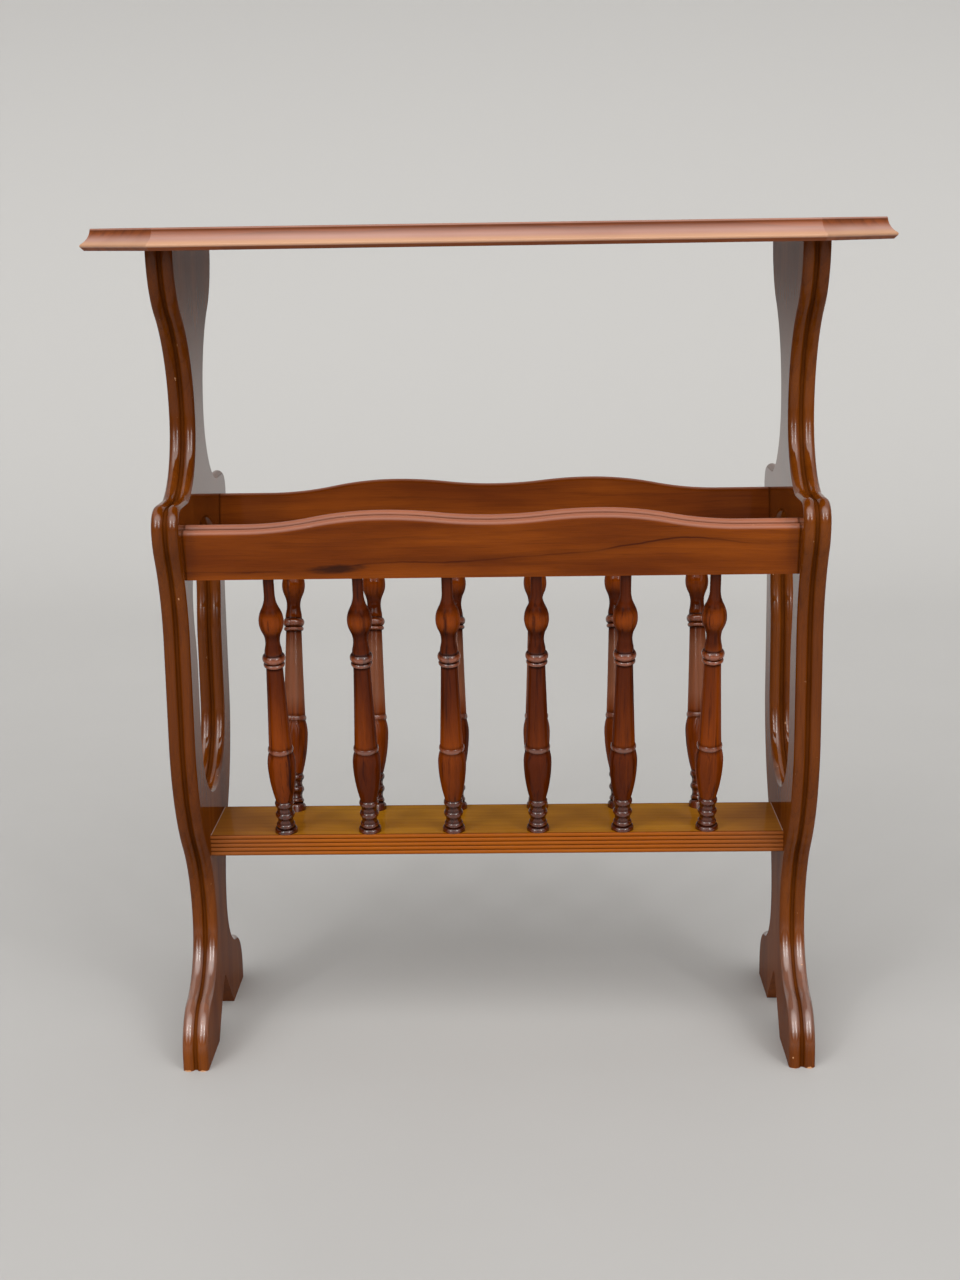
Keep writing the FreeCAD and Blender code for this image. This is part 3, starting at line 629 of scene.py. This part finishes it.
def spindle_blocks(x):
    """A front spindle: the section turned about an axis that leans outwards. Its lowest rings lie on the
    level of the shelf, where the place along the axis is minus radius times tan(lean) times sin(angle)."""
    section = turned_section()
    angle = np.arange(SPINDLE_SIDES) * (2 * math.pi / SPINDLE_SIDES)
    below = [(-FOOT_TENON_LENGTH, FOOT_TENON_RADIUS), (0, FOOT_TENON_RADIUS), (0, BASE_RADIUS)]
    above = [(spindle_length, RAIL_TENON_RADIUS), (spindle_length + RAIL_TENON_LENGTH, RAIL_TENON_RADIUS)]
    along, radius = np.concatenate([below, section, above]).T
    glaze = np.pad(crease_glaze(section), (len(below), len(above)))
    rings_end = BASE_LENGTH + TIER_LENGTH + FOOT_RINGS * (COVE_LENGTH + RING_LENGTH)
    collar_end = rings_end + URN_FOOT_LENGTH + URN_LENGTH + URN_SHOULDER + COLLAR_LENGTH
    head_start = spindle_length - head_length
    head_end = head_start + LOW_RING_LENGTH + HIGH_RING_LENGTH
    swell = np.clip((radius - COLUMN_MIDDLE_RADIUS) / (BULB_RADIUS - COLUMN_MIDDLE_RADIUS), -1, 1)
    swell = np.where(along < rings_end, RINGS_TONE, np.where(along < collar_end, 0, swell))
    # How far each place lies inside the column, for a paler colour there
    pale_column = ramp(np.minimum(along - collar_end, head_start - along), 0, PALE_COLUMN_BLEND)
    collars = (along > collar_end - COLLAR_LENGTH) & (along < collar_end)
    collars = collars | ((along > head_start) & (along < head_end))
    polish = (collars | (along < rings_end)).astype(float)
    # The crests of the collars get a painted highlight through the edge mark.
    crest = COLLAR_HIGHLIGHT * collars * (1 - glaze)
    marks = {"groove": glaze, "tone": SWELL_TONE * swell, "polish": polish, "pale_column": pale_column,
             "edge": crest}
    marks = {name: np.repeat(values, SPINDLE_SIDES) for name, values in marks.items()}
    along = np.repeat(along[:, None], SPINDLE_SIDES, 1)
    along[1:3] = -radius[1:3, None] * math.tan(lean) * np.sin(angle)
    level = radius[:, None] * np.sin(angle)
    rings = np.stack([x + radius[:, None] * np.cos(angle),
                      -RACK_FOOT_HALF_GAP - along * math.sin(lean) + level * math.cos(lean),
                      shelf_top + along * math.cos(lean) + level * math.sin(lean)], -1)
    turning = block(rings, grid_faces(len(radius), SPINDLE_SIDES, closed=True), **marks)
    return [turning, polygon(rings[0]), polygon(rings[-1])]


# Shader building
class Tree:
    """Adds nodes to a shader tree. An input that is a socket is linked, and any other value is set."""

    def __init__(self, tree):
        self.tree = tree
        tree.nodes.clear()

    def add(self, kind, inputs, **settings):
        node = self.tree.nodes.new(kind)
        for name, value in settings.items():
            setattr(node, name, value)
        for name, value in inputs.items():
            if isinstance(value, bpy.types.NodeSocket):
                self.tree.links.new(value, node.inputs[name])
            else:
                node.inputs[name].default_value = value
        return node

    def math(self, operation, first, second=0.0, third=0.0):
        return self.add("ShaderNodeMath", {0: first, 1: second, 2: third}, operation=operation).outputs[0]

    def times(self, first, second):
        return self.math("MULTIPLY", first, second)

    def scale(self, value, factor, added):
        return self.math("MULTIPLY_ADD", value, factor, added)

    def noise(self, vector, waves, detail=2.0, roughness=0.5):
        """Noise with a given number of waves to the metre along each axis."""
        place = self.add("ShaderNodeVectorMath", {0: vector, 1: waves}, operation="MULTIPLY").outputs[0]
        inputs = {"Vector": place, "Scale": 1.0, "Detail": detail, "Roughness": roughness}
        return self.add("ShaderNodeTexNoise", inputs).outputs[0]

    def fade(self, value, low, high):
        """Zero at low and one at high, eased between them and level beyond. Low may be the larger."""
        inputs = {"Value": value, "From Min": low, "From Max": high}
        return self.add("ShaderNodeMapRange", inputs, interpolation_type="SMOOTHSTEP").outputs[0]

    def mix(self, factor, first, second, blend="MIX"):
        node = self.add("ShaderNodeMix", {0: factor, 6: first, 7: second}, data_type="RGBA", blend_type=blend)
        return node.outputs[2]

    def tint(self, color, mask, share, target):
        """The colour moved towards a target by a share of the mask."""
        return self.mix(self.times(mask, share), color, target)

    def split(self, vector):
        return self.add("ShaderNodeSeparateXYZ", {0: vector}).outputs

    def mark(self, name, output="Fac"):
        return self.add("ShaderNodeAttribute", {}, attribute_name=name).outputs[output]

    def use(self, group, inputs):
        return self.add("ShaderNodeGroup", inputs, node_tree=group).outputs

    def show(self, inputs):
        """Makes a surface with these inputs the result of the material."""
        surface = self.add("ShaderNodeBsdfPrincipled", inputs)
        self.add("ShaderNodeOutputMaterial", {"Surface": surface.outputs[0]})


def new_material(name):
    """An empty material, its tree and the socket that gives the place of a point."""
    material = bpy.data.materials.new(name)
    material.use_nodes = True
    tree = Tree(material.node_tree)
    return material, tree, tree.add("ShaderNodeTexCoord", {}).outputs["Object"]


def new_group(name, inputs, outputs):
    """A node group with named sockets, and the tree that fills it."""
    group = bpy.data.node_groups.new(name, "ShaderNodeTree")
    tree = Tree(group)
    for side, sockets in (("INPUT", inputs), ("OUTPUT", outputs)):
        for socket, kind in sockets.items():
            group.interface.new_socket(socket, in_out=side, socket_type=kind)
    return group, tree, tree.add("NodeGroupInput", {}).outputs


COLOR, FLOAT, VECTOR = "NodeSocketColor", "NodeSocketFloat", "NodeSocketVector"

# Figure of the wood: waves to the metre along, across and through the grain, and levels of the noise
DRIFT_WAVES = (6, 34, 34)
DRIFT_LEVELS = (0.30, 0.72)
SWAY_WAVES = (5, 11, 11)
RINGS_PER_METRE = 120
RING_SLANT = 0.55  # how far the rings lean into the board
RING_SWAY = 4.2  # how many rings the sway moves them
LATE_WOOD = (0.45, 1.0)  # part of a ring over which it darkens
STREAK_WAVES = (9, 240, 240)
STREAK_LEVELS = (0.50, 0.72)
FIBRE_WAVES = (45, 1500, 1500)
FIBRE_SHADE = 0.5
PORE_WAVES = (60, 2100, 2100)
PORE_LEVELS = (0.60, 0.72)
PORE_SHADE = 0.18

# Glaze and wear
GLAZE_WAVES = (70, 70, 70)
GLAZE_LEVELS = (0.2, 0.62)
GLAZE_UNEVEN = 0.25  # share of the glaze that comes and goes along a groove
CHIP_WAVES = (210, 210, 150)
CHIP_LEVELS = (0.72, 0.76)
CHIP_EDGE = (0.25, 0.8)  # edge values between which chips set in
SOLE_EDGE = (1.0, 2.0)  # edge values between which they grow
SOLE_SCUFF = 0.3

# Heartwood, with distances from the line in millimetres
WANDER_WAVES = (40, 40, 40)
HEART_WANDER = 3.0
HEART_WAVES = (16, 16, 16)
HEART_LEVELS = (0.35, 0.62)
HEART_SHARE = (0.5, 0.35)  # what varies and what stays
HEART_LINE_RIM = (1.2, 0.2)
HEART_HALO_RIM = (5.0, 0.5)
HEART_HALO = 0.22
KNOT_WAVES = (90, 90, 260)
KNOT_RAGGED = 1.2
KNOT_RIM = (1.55, 0.6)
KNOT_STRENGTH = 0.92


def wood_figure_group():
    """Straight-grained red-brown wood: broad drift of tone, swaying growth rings, streaks, fibres and pores.
    All are noises of the grain place, stretched along the first axis."""
    group, tree, given = new_group("wood_figure", {
        "Grain": VECTOR, "Tone": FLOAT, "Pale": COLOR, "Body": COLOR, "Dark": COLOR, "Rings": FLOAT,
        "Streaks": FLOAT}, {"Color": COLOR, "Height": FLOAT})
    grain = given["Grain"]
    axes = tree.split(grain)
    drift = tree.math("ADD", tree.noise(grain, DRIFT_WAVES, 3), given["Tone"])
    sway = tree.noise(grain, SWAY_WAVES, 2)
    across = tree.scale(axes[2], RING_SLANT, axes[1])
    phase = tree.scale(sway, RING_SWAY, tree.times(across, RINGS_PER_METRE))
    late_wood = tree.fade(tree.math("FRACT", phase), *LATE_WOOD)
    streak = tree.fade(tree.noise(grain, STREAK_WAVES, 4, 0.62), *STREAK_LEVELS)
    fibre = tree.noise(grain, FIBRE_WAVES, 3, 0.6)
    pore = tree.fade(tree.noise(grain, PORE_WAVES, 1), *PORE_LEVELS)
    tone = tree.mix(tree.fade(drift, *DRIFT_LEVELS), given["Body"], given["Pale"])
    lines = tree.times(late_wood, given["Rings"])
    lines = tree.scale(streak, given["Streaks"], lines)
    tone = tree.mix(tree.math("MINIMUM", lines, 1.0), tone, given["Dark"])
    shade = tree.scale(fibre, FIBRE_SHADE, 1 - FIBRE_SHADE / 2)
    shade = tree.scale(pore, -PORE_SHADE, shade)
    tone = tree.mix(1.0, tone, shade, "MULTIPLY")
    tree.add("NodeGroupOutput", {"Color": tone, "Height": tree.math("SUBTRACT", fibre, pore)})
    return group


def glaze_and_wear_group():
    """Dark glaze left in the grooves, uneven along them, and small pale chips on the crests of the edges.
    An edge value above one, as at the soles, chips more easily."""
    group, tree, given = new_group("glaze_and_wear", {
        "Color": COLOR, "Place": VECTOR, "Groove": FLOAT, "Edge": FLOAT, "Glaze": COLOR, "Strength": FLOAT,
        "Bare": COLOR}, {"Color": COLOR, "Wear": FLOAT})
    place = given["Place"]
    patch = tree.fade(tree.noise(place, GLAZE_WAVES, 2), *GLAZE_LEVELS)
    even = tree.scale(patch, GLAZE_UNEVEN, 1 - GLAZE_UNEVEN)
    depth = tree.times(tree.times(given["Groove"], even), given["Strength"])
    glazed = tree.mix(depth, given["Color"], given["Glaze"])
    scuff = tree.times(tree.fade(given["Edge"], *SOLE_EDGE), SOLE_SCUFF)
    spots = tree.math("ADD", tree.noise(place, CHIP_WAVES, 3, 0.6), scuff)
    chip = tree.fade(spots, *CHIP_LEVELS)
    wear = tree.times(chip, tree.fade(given["Edge"], *CHIP_EDGE))
    tree.add("NodeGroupOutput", {"Color": tree.mix(wear, glazed, given["Bare"]), "Wear": wear})
    return group


def heartwood_group():
    """A thin dark heartwood line, wandering and fading along its length, and one dark knot that it runs into.
    The knot is a flat oval with a wavering rim about a place given along and up."""
    group, tree, given = new_group("heartwood", {
        "Color": COLOR, "Place": VECTOR, "Away": FLOAT, "Line": COLOR, "Knot": COLOR}, {"Color": COLOR})
    place = given["Place"]
    axes = tree.split(place)
    wander = tree.noise(place, WANDER_WAVES, 3)
    wander = tree.scale(wander, HEART_WANDER * MM, -HEART_WANDER / 2 * MM)
    away = tree.math("ABSOLUTE", tree.math("DIVIDE", tree.math("ADD", given["Away"], wander), MM))
    strength = tree.scale(tree.fade(tree.noise(place, HEART_WAVES, 2), *HEART_LEVELS), *HEART_SHARE)
    line = tree.times(tree.fade(away, *HEART_LINE_RIM), strength)
    halo = tree.times(tree.fade(away, *HEART_HALO_RIM), HEART_HALO)
    color = tree.mix(tree.math("MAXIMUM", line, halo), given["Color"], given["Line"])
    along = tree.math("DIVIDE", tree.math("SUBTRACT", axes[0], KNOT_PLACE * MM), KNOT_HALF_LENGTH * MM)
    tilt = tree.times(along, KNOT_RISE * MM)
    up = tree.math("SUBTRACT", tree.math("SUBTRACT", axes[2], KNOT_HEIGHT * MM), tilt)
    up = tree.math("DIVIDE", up, KNOT_HALF_HEIGHT * MM)
    reach = tree.math("ADD", tree.times(along, along), tree.times(up, up))
    ragged = tree.scale(tree.noise(place, KNOT_WAVES, 3), KNOT_RAGGED, reach)
    color = tree.tint(color, tree.fade(ragged, *KNOT_RIM), KNOT_STRENGTH, given["Knot"])
    tree.add("NodeGroupOutput", {"Color": color})
    return group


# Colours that parts of a finish move towards, and how far
KNOT = (0.030, 0.007, 0.002, 1)
BARE = (0.52, 0.27, 0.13, 1)
# Pale colour of the faded flat top and of the painted sheen down the cove of the rim
FADE_AND_SHEEN = (0.44, 0.255, 0.205, 1)
# Painted highlight on the lip of the rim
PAINTED_LIP_HIGHLIGHT = (0.495, 0.27, 0.15, 1)
# Painted highlight on the crests of the rail beads and of the collars
PAINTED_CREST_HIGHLIGHT = (0.54, 0.235, 0.155, 1)
# Paler colour of the columns of the back spindles
PALE_COLUMN = (0.33, 0.14, 0.078, 1)
# Browner colour of the shelf ends, with a painted pinkish sheen
SHELF_ENDS_SHEEN = (0.20, 0.062, 0.020, 1)
REEDS = (0.28, 0.057, 0.005, 1)
# Pale colour of the dust on the shelf ends and of the painted sheen on the feet
DUST_AND_SHEEN = (0.50, 0.40, 0.37, 1)
CREST_HIGHLIGHT_SHARE = 0.45
CREST_HIGHLIGHT_EDGE = (0.2, 1.0)  # edge values between which the painted highlight sets in
PALE_COLUMN_SHARE = 0.5
ENDS_SHEEN_SHARE = 0.55
ENDS_LENGTH = 110.0  # length of shelf over which each end turns browner under a painted sheen
REEDS_SHARE = 0.75
DUST_AND_SHEEN_SHARE = 0.55
DUST_AND_SHEEN_LEVELS = (0.25, 0.75)
# Patches in which the fading and the painted sheen of the rim vary
FADE_AND_SHEEN_WAVES = (7, 20, 20)
FADE_AND_SHEEN_LEVELS = (0.3, 0.7)
FADE_AND_SHEEN_SHARE = (0.3, 0.6)  # what varies and what stays

# Lacquer
POLISH = 0.8  # added lacquer where a mesh is marked with polish
INNER_POLISH = 0.75  # polish of the inner face of a panel, full behind the rack
INNER_SETS_IN = (0.16, 0.40)  # heights in metres
INNER_ENDS = (0.59, 0.44)
GROOVE_DULLNESS = 0.95  # share of the lacquer that a groove lacks
WOOD_ROUGHNESS = 0.45
WORN_ROUGHNESS = 0.3  # added where the wood is bare
RIPPLE_WAVES = (55, 55, 55)
FIGURE_RELIEF = 0.10  # relief of the figure against the ripples


def lacquered_wood(name, pale, body, dark, rings, streaks, gloss, glaze, strength, extras=()):
    """Stained wood under a clear lacquer, with glaze of a given strength in its grooves. The extras give
    a dark heartwood line and a knot, a painted highlight on the crests, browner shelf ends under a painted
    sheen, more lacquer half way up a panel's inner face, and from marks of their own redder reeds, a paler
    column, a faded top with a painted sheen down its cove and a painted highlight on its lip, and dust with a
    painted sheen."""
    material, tree, place = new_material(name)
    groove, edge, polish = (tree.mark(mark) for mark in ("groove", "edge", "polish"))
    figure = tree.use(wood_figure, {
        "Grain": tree.mark("grain", "Vector"), "Tone": tree.mark("tone"), "Pale": (*pale, 1),
        "Body": (*body, 1), "Dark": (*dark, 1), "Rings": rings, "Streaks": streaks})
    color = figure["Color"]
    if "heartwood" in extras:
        color = tree.use(heartwood, {"Color": color, "Place": place, "Away": tree.mark("heart"),
                                     "Line": (*dark, 1), "Knot": KNOT})["Color"]
    # Painted highlight on the crests
    if "crest_highlight" in extras:
        color = tree.tint(color, tree.fade(edge, *CREST_HIGHLIGHT_EDGE), CREST_HIGHLIGHT_SHARE, PAINTED_CREST_HIGHLIGHT)
    if "reeds" in extras:
        color = tree.tint(color, tree.mark("reeds"), REEDS_SHARE, REEDS)
    # Browner shelf ends with a painted pinkish sheen
    if "ends" in extras:
        aside = tree.math("ABSOLUTE", tree.split(place)[0])
        near_end = tree.fade(aside, (inner_face - ENDS_LENGTH) * MM, inner_face * MM)
        color = tree.tint(color, near_end, ENDS_SHEEN_SHARE, SHELF_ENDS_SHEEN)
    # Paler column
    if "pale_column" in extras:
        color = tree.tint(color, tree.mark("pale_column"), PALE_COLUMN_SHARE, PALE_COLUMN)
    # Faded flat top, painted sheen down the cove of the rim and painted highlight on its lip
    if "faded" in extras:
        patch = tree.fade(tree.noise(place, FADE_AND_SHEEN_WAVES, 3), *FADE_AND_SHEEN_LEVELS)
        share = tree.scale(patch, *FADE_AND_SHEEN_SHARE)
        color = tree.tint(color, tree.mark("faded"), share, FADE_AND_SHEEN)
        color = tree.tint(color, tree.mark("lip"), share, PAINTED_LIP_HIGHLIGHT)
    finish = tree.use(glaze_and_wear, {
        "Color": color, "Place": place, "Groove": groove, "Edge": edge, "Glaze": (*glaze, 1),
        "Strength": strength, "Bare": BARE})
    color, wear = finish["Color"], finish["Wear"]
    # Dust on the shelf ends, and a painted sheen on the feet
    if "dust" in extras:
        color = tree.tint(color, tree.fade(tree.mark("dust"), *DUST_AND_SHEEN_LEVELS), DUST_AND_SHEEN_SHARE, DUST_AND_SHEEN)
    if "inner" in extras:
        up = tree.split(place)[2]
        band = tree.times(tree.fade(up, *INNER_SETS_IN), tree.fade(up, *INNER_ENDS))
        band = tree.times(band, tree.mark("inner"))
        polish = tree.scale(band, INNER_POLISH, polish)
    height = tree.scale(figure["Height"], FIGURE_RELIEF, tree.noise(place, RIPPLE_WAVES, 2))
    bump = tree.add("ShaderNodeBump", {"Height": height, "Strength": 0.05, "Distance": 0.0012})
    shine = tree.scale(polish, POLISH, gloss)
    dull = tree.math("MAXIMUM", wear, tree.times(groove, GROOVE_DULLNESS))
    coat = tree.times(shine, tree.math("SUBTRACT", 1.0, dull))
    tree.show({
        "Base Color": color, "Roughness": tree.scale(wear, WORN_ROUGHNESS, WOOD_ROUGHNESS),
        "Normal": bump.outputs[0], "Specular IOR Level": 0.0, "Coat Weight": coat, "Coat Roughness": 0.06,
        "Coat IOR": 1.8})
    return material


def bare_dowel_wood():
    """Unfinished pale wood of the hidden pegs, with fine fibres along their length."""
    material, tree, place = new_material("bare_dowel_wood")
    fibre = tree.noise(place, (60, 900, 900), 3)
    color = tree.mix(fibre, (0.46, 0.29, 0.14, 1), (0.62, 0.44, 0.25, 1))
    tree.show({"Base Color": color, "Roughness": 0.7})
    return material


# Finishes
wood_figure = wood_figure_group()
glaze_and_wear = glaze_and_wear_group()
heartwood = heartwood_group()
rail_finish = {
    "pale": (0.225, 0.049, 0.003), "body": (0.112, 0.020, 0.001), "dark": (0.045, 0.007, 0.001),
    "rings": 0.12, "streaks": 0.26, "gloss": 0.12, "glaze": (0.020, 0.005, 0.001), "strength": 0.8}
turned_finish = {
    "pale": (0.20, 0.036, 0.002), "body": (0.080, 0.012, 0.001), "dark": (0.014, 0.002, 0.001),
    "rings": 0.15, "gloss": 0.14, "glaze": (0.010, 0.002, 0.001), "strength": 0.95}
panel_wood = lacquered_wood(
    "panel_wood", pale=(0.17, 0.041, 0.003), body=(0.110, 0.024, 0.001), dark=(0.040, 0.008, 0.001),
    rings=0.15, streaks=0.25, gloss=0.20, glaze=(0.040, 0.012, 0.004), strength=0.55,
    extras=("dust", "inner"))
rail_wood = lacquered_wood("rail_wood", **rail_finish, extras=("crest_highlight",))
front_rail_wood = lacquered_wood("front_rail_wood", **rail_finish, extras=("heartwood", "crest_highlight"))
shelf_wood = lacquered_wood(
    "shelf_wood", pale=(0.385, 0.165, 0.008), body=(0.295, 0.115, 0.005), dark=(0.15, 0.045, 0.002),
    rings=0.15, streaks=0.20, gloss=0.09, glaze=(0.040, 0.007, 0.001), strength=0.85,
    extras=("reeds", "ends", "dust"))
turned_wood = lacquered_wood("turned_wood", **turned_finish, streaks=0.80, extras=("crest_highlight",))
pale_column_turned_wood = lacquered_wood(
    "pale_column_turned_wood", **turned_finish, streaks=0.50, extras=("crest_highlight", "pale_column"))
top_wood = lacquered_wood(
    "top_wood", pale=(0.25, 0.056, 0.007), body=(0.17, 0.035, 0.003), dark=(0.06, 0.012, 0.001),
    rings=0.30, streaks=0.30, gloss=0.38, glaze=(0.030, 0.007, 0.002), strength=0.8, extras=("faded",))
dowel_wood = bare_dowel_wood()

# Pieces
LONG_GRAIN = X_AXIS, Y_AXIS, Z_AXIS = np.eye(3)
UPRIGHT_GRAIN = (Z_AXIS, Y_AXIS, X_AXIS)
MIRROR_X, MIRROR_Y = (-1, 1, 1), (1, -1, 1)
front_lean = np.array([0, -math.sin(lean), math.cos(lean)])
front_square = np.array([0, math.cos(lean), math.sin(lean)])
RAIL_GRAIN = np.array([X_AXIS, front_lean, front_square])
TURNED_GRAIN = np.array([front_lean, X_AXIS, front_square])
LEFT_PANEL_TONE = -0.08
# Tones of the front spindles from left to right; the paler back ones have them the other way round
SPINDLE_TONES = [-0.02, -0.16, 0.03, -0.22, -0.06, 0.06]
BACK_TONE = 0.15
FRONT_SEED = 10  # the seeds of the spindles count on from these
BACK_SEED = 20

panel = panel_blocks()
make_piece("right_end_panel", panel, panel_wood, UPRIGHT_GRAIN, 1)
make_piece("left_end_panel", turned_over(panel, MIRROR_X), panel_wood, UPRIGHT_GRAIN, 2, LEFT_PANEL_TONE)
make_piece("table_top", top_blocks(), top_wood, LONG_GRAIN, 3)
make_piece("bottom_shelf", shelf_blocks(), shelf_wood, LONG_GRAIN, 4)
rail = rail_blocks()
make_piece("front_rail", rail, front_rail_wood, RAIL_GRAIN, 5)
make_piece("back_rail", turned_over(rail, MIRROR_Y), rail_wood, RAIL_GRAIN * MIRROR_Y, 6)
spindle_places = np.linspace(SPINDLE_END_GAP - inner_face, inner_face - SPINDLE_END_GAP, SPINDLES_PER_SIDE)
for number, place in enumerate(spindle_places, start=1):
    spindle = spindle_blocks(place)
    make_piece(f"front_spindle_{number}", spindle, turned_wood, TURNED_GRAIN, FRONT_SEED + number,
               SPINDLE_TONES[number - 1])
    make_piece(f"back_spindle_{number}", turned_over(spindle, MIRROR_Y), pale_column_turned_wood,
               TURNED_GRAIN * MIRROR_Y, BACK_SEED + number, SPINDLE_TONES[-number] + BACK_TONE)
for node in ("rail_dowels", "shelf_dowels", "top_dowels"):
    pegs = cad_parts[node]
    pegs.data.materials.clear()
    pegs.data.materials.append(dowel_wood)


# Studio, in metres
FLOOR_HALF_WIDTH = 4.0
FLOOR_FRONT = -4.0
FLOOR_BACK = 1.6
SWEEP_RADIUS = 1.4
SWEEP_STEPS = 24
WALL_TOP = 4.0
FLOOR_CLOUD_WAVES = (3, 3, 3)
FLOOR_DARK = (0.40, 0.395, 0.387, 1)
FLOOR_PALE = (0.44, 0.435, 0.427, 1)
WALL_PALE = (0.43, 0.426, 0.418, 1)
WALL_BLEND = (0.4, 2.2)  # depths between which the floor takes the colour of the wall


def studio_floor():
    """A pale floor that sweeps up into a wall: a run, a quarter circle and a rise, carried along X."""
    angle = np.linspace(0, QUARTER, SWEEP_STEPS + 1)
    sweep = np.column_stack([FLOOR_BACK + SWEEP_RADIUS * np.sin(angle), SWEEP_RADIUS * (1 - np.cos(angle))])
    section = np.concatenate([[(FLOOR_FRONT, 0)], sweep, [(FLOOR_BACK + SWEEP_RADIUS, WALL_TOP)]])
    sides = np.array([-FLOOR_HALF_WIDTH, FLOOR_HALF_WIDTH])
    points = np.stack(np.broadcast_arrays(sides, section[:, :1], section[:, 1:]), -1)
    mesh = bpy.data.meshes.new("studio_floor")
    mesh.from_pydata(points.reshape(-1, 3), [], grid_faces(len(section), 2))
    mesh.polygons.foreach_set("use_smooth", np.ones(len(mesh.polygons), bool))
    material, tree, place = new_material("pale_floor")
    near = tree.mix(tree.noise(place, FLOOR_CLOUD_WAVES, 4), FLOOR_DARK, FLOOR_PALE)
    color = tree.mix(tree.fade(tree.split(place)[1], *WALL_BLEND), near, WALL_PALE)
    tree.show({"Base Color": color, "Roughness": 0.65})
    mesh.materials.append(material)
    floor = in_scene(mesh)


# Strip boxes beside the camera
STRIP_ASIDE = 1.2
STRIP_FRONT = -1.9
STRIP_HEIGHT = 1.6
STRIP_TARGET = (0, 0, 0.35)
STRIP_SIZE = (0.16, 1.3)
STRIP_POWER = 10

# Dome of light: its strengths, and the parts of a direction between which each one sets in
SKY_AT_HORIZON = 0.16
SKY_ABOVE = 0.95
SKY_RISE = (0.35, 0.75)
SKY_BEHIND_SHARE = 0.7  # strength above and behind, against above and in front
SKY_TURN = (-0.4, 0.4)
SKY_IN_FRONT = 0.30
SKY_FRONT_RIM = (0.6, 1.0)
SKY_ARCH = 1.85
SKY_ARCH_SIDES = (0.9, 0.6)
SKY_ARCH_FOOT = (0.33, 0.60)
SKY_ARCH_BACK = (0.05, 0.45)
SKY_ARCH_DROP = 0.28  # how much lower the arch reaches at its sides
SKY_ARCH_BEND = (0.10, 0.40)


def strip_box(name, side):
    """A tall narrow lamp on one side of the camera that faces the table."""
    lamp = bpy.data.lights.new(name, "AREA")
    lamp.shape = "RECTANGLE"
    lamp.size, lamp.size_y = STRIP_SIZE
    lamp.energy = STRIP_POWER
    place = Vector((side * STRIP_ASIDE, STRIP_FRONT, STRIP_HEIGHT))
    turn = (place - Vector(STRIP_TARGET)).to_track_quat("Z", "Y")
    in_scene(lamp).matrix_world = Matrix.Translation(place) @ turn.to_matrix().to_4x4()


def studio_light():
    """A pale dome, dim at the horizon, with a broad bright arch of soft rims in front that reaches lower at
    its sides, and a narrow upright strip box on each side of the camera."""
    strip_box("left_strip", -1)
    strip_box("right_strip", 1)
    world = bpy.data.worlds.new("studio_dome")
    world.use_nodes = True
    tree = Tree(world.node_tree)
    axes = tree.split(tree.add("ShaderNodeTexCoord", {}).outputs["Generated"])
    front = tree.times(axes[1], -1.0)
    share = tree.scale(tree.fade(front, *SKY_TURN), 1 - SKY_BEHIND_SHARE, SKY_BEHIND_SHARE)
    above = tree.times(tree.fade(axes[2], *SKY_RISE), share)
    sky = tree.scale(above, SKY_ABOVE - SKY_AT_HORIZON, SKY_AT_HORIZON)
    sky = tree.scale(tree.fade(front, *SKY_FRONT_RIM), SKY_IN_FRONT, sky)
    aside = tree.math("ABSOLUTE", axes[0])
    raised = tree.scale(tree.fade(aside, *SKY_ARCH_BEND), SKY_ARCH_DROP, axes[2])
    arch = tree.times(tree.fade(aside, *SKY_ARCH_SIDES), tree.fade(raised, *SKY_ARCH_FOOT))
    arch = tree.times(arch, tree.fade(front, *SKY_ARCH_BACK))
    sky = tree.scale(arch, SKY_ARCH, sky)
    background = tree.add("ShaderNodeBackground", {"Color": (1.0, 0.985, 0.965, 1), "Strength": sky})
    tree.add("ShaderNodeOutputWorld", {"Surface": background.outputs[0]})
    scene.world = world


# Camera: its place in metres and its turns in radians
CAMERA_PLACE = (0.02292, -1.41716, 0.61348)
CAMERA_YAW = -0.023632
CAMERA_PITCH_DOWN = 0.213912
CAMERA_ROLL = 0.015481
FOCAL_PIXELS = 1924.0
IMAGE_HEIGHT_PIXELS = 1280.0
SENSOR_LONG_SIDE = 36.0


def photo_camera():
    """A camera that looks along +Y, turned by its yaw, tipped down by its pitch and then rolled."""
    data = bpy.data.cameras.new("photo_camera")
    data.sensor_width = SENSOR_LONG_SIDE
    data.lens = FOCAL_PIXELS * SENSOR_LONG_SIDE / IMAGE_HEIGHT_PIXELS
    stand = Matrix.Translation(CAMERA_PLACE)
    for angle, axis in ((-CAMERA_YAW, "Z"), (QUARTER - CAMERA_PITCH_DOWN, "X"), (-CAMERA_ROLL, "Z")):
        stand = stand @ Matrix.Rotation(angle, 4, axis)
    scene.camera = in_scene(data)
    scene.camera.matrix_world = stand


studio_floor()
studio_light()
photo_camera()
scene.view_settings.view_transform = "Standard"
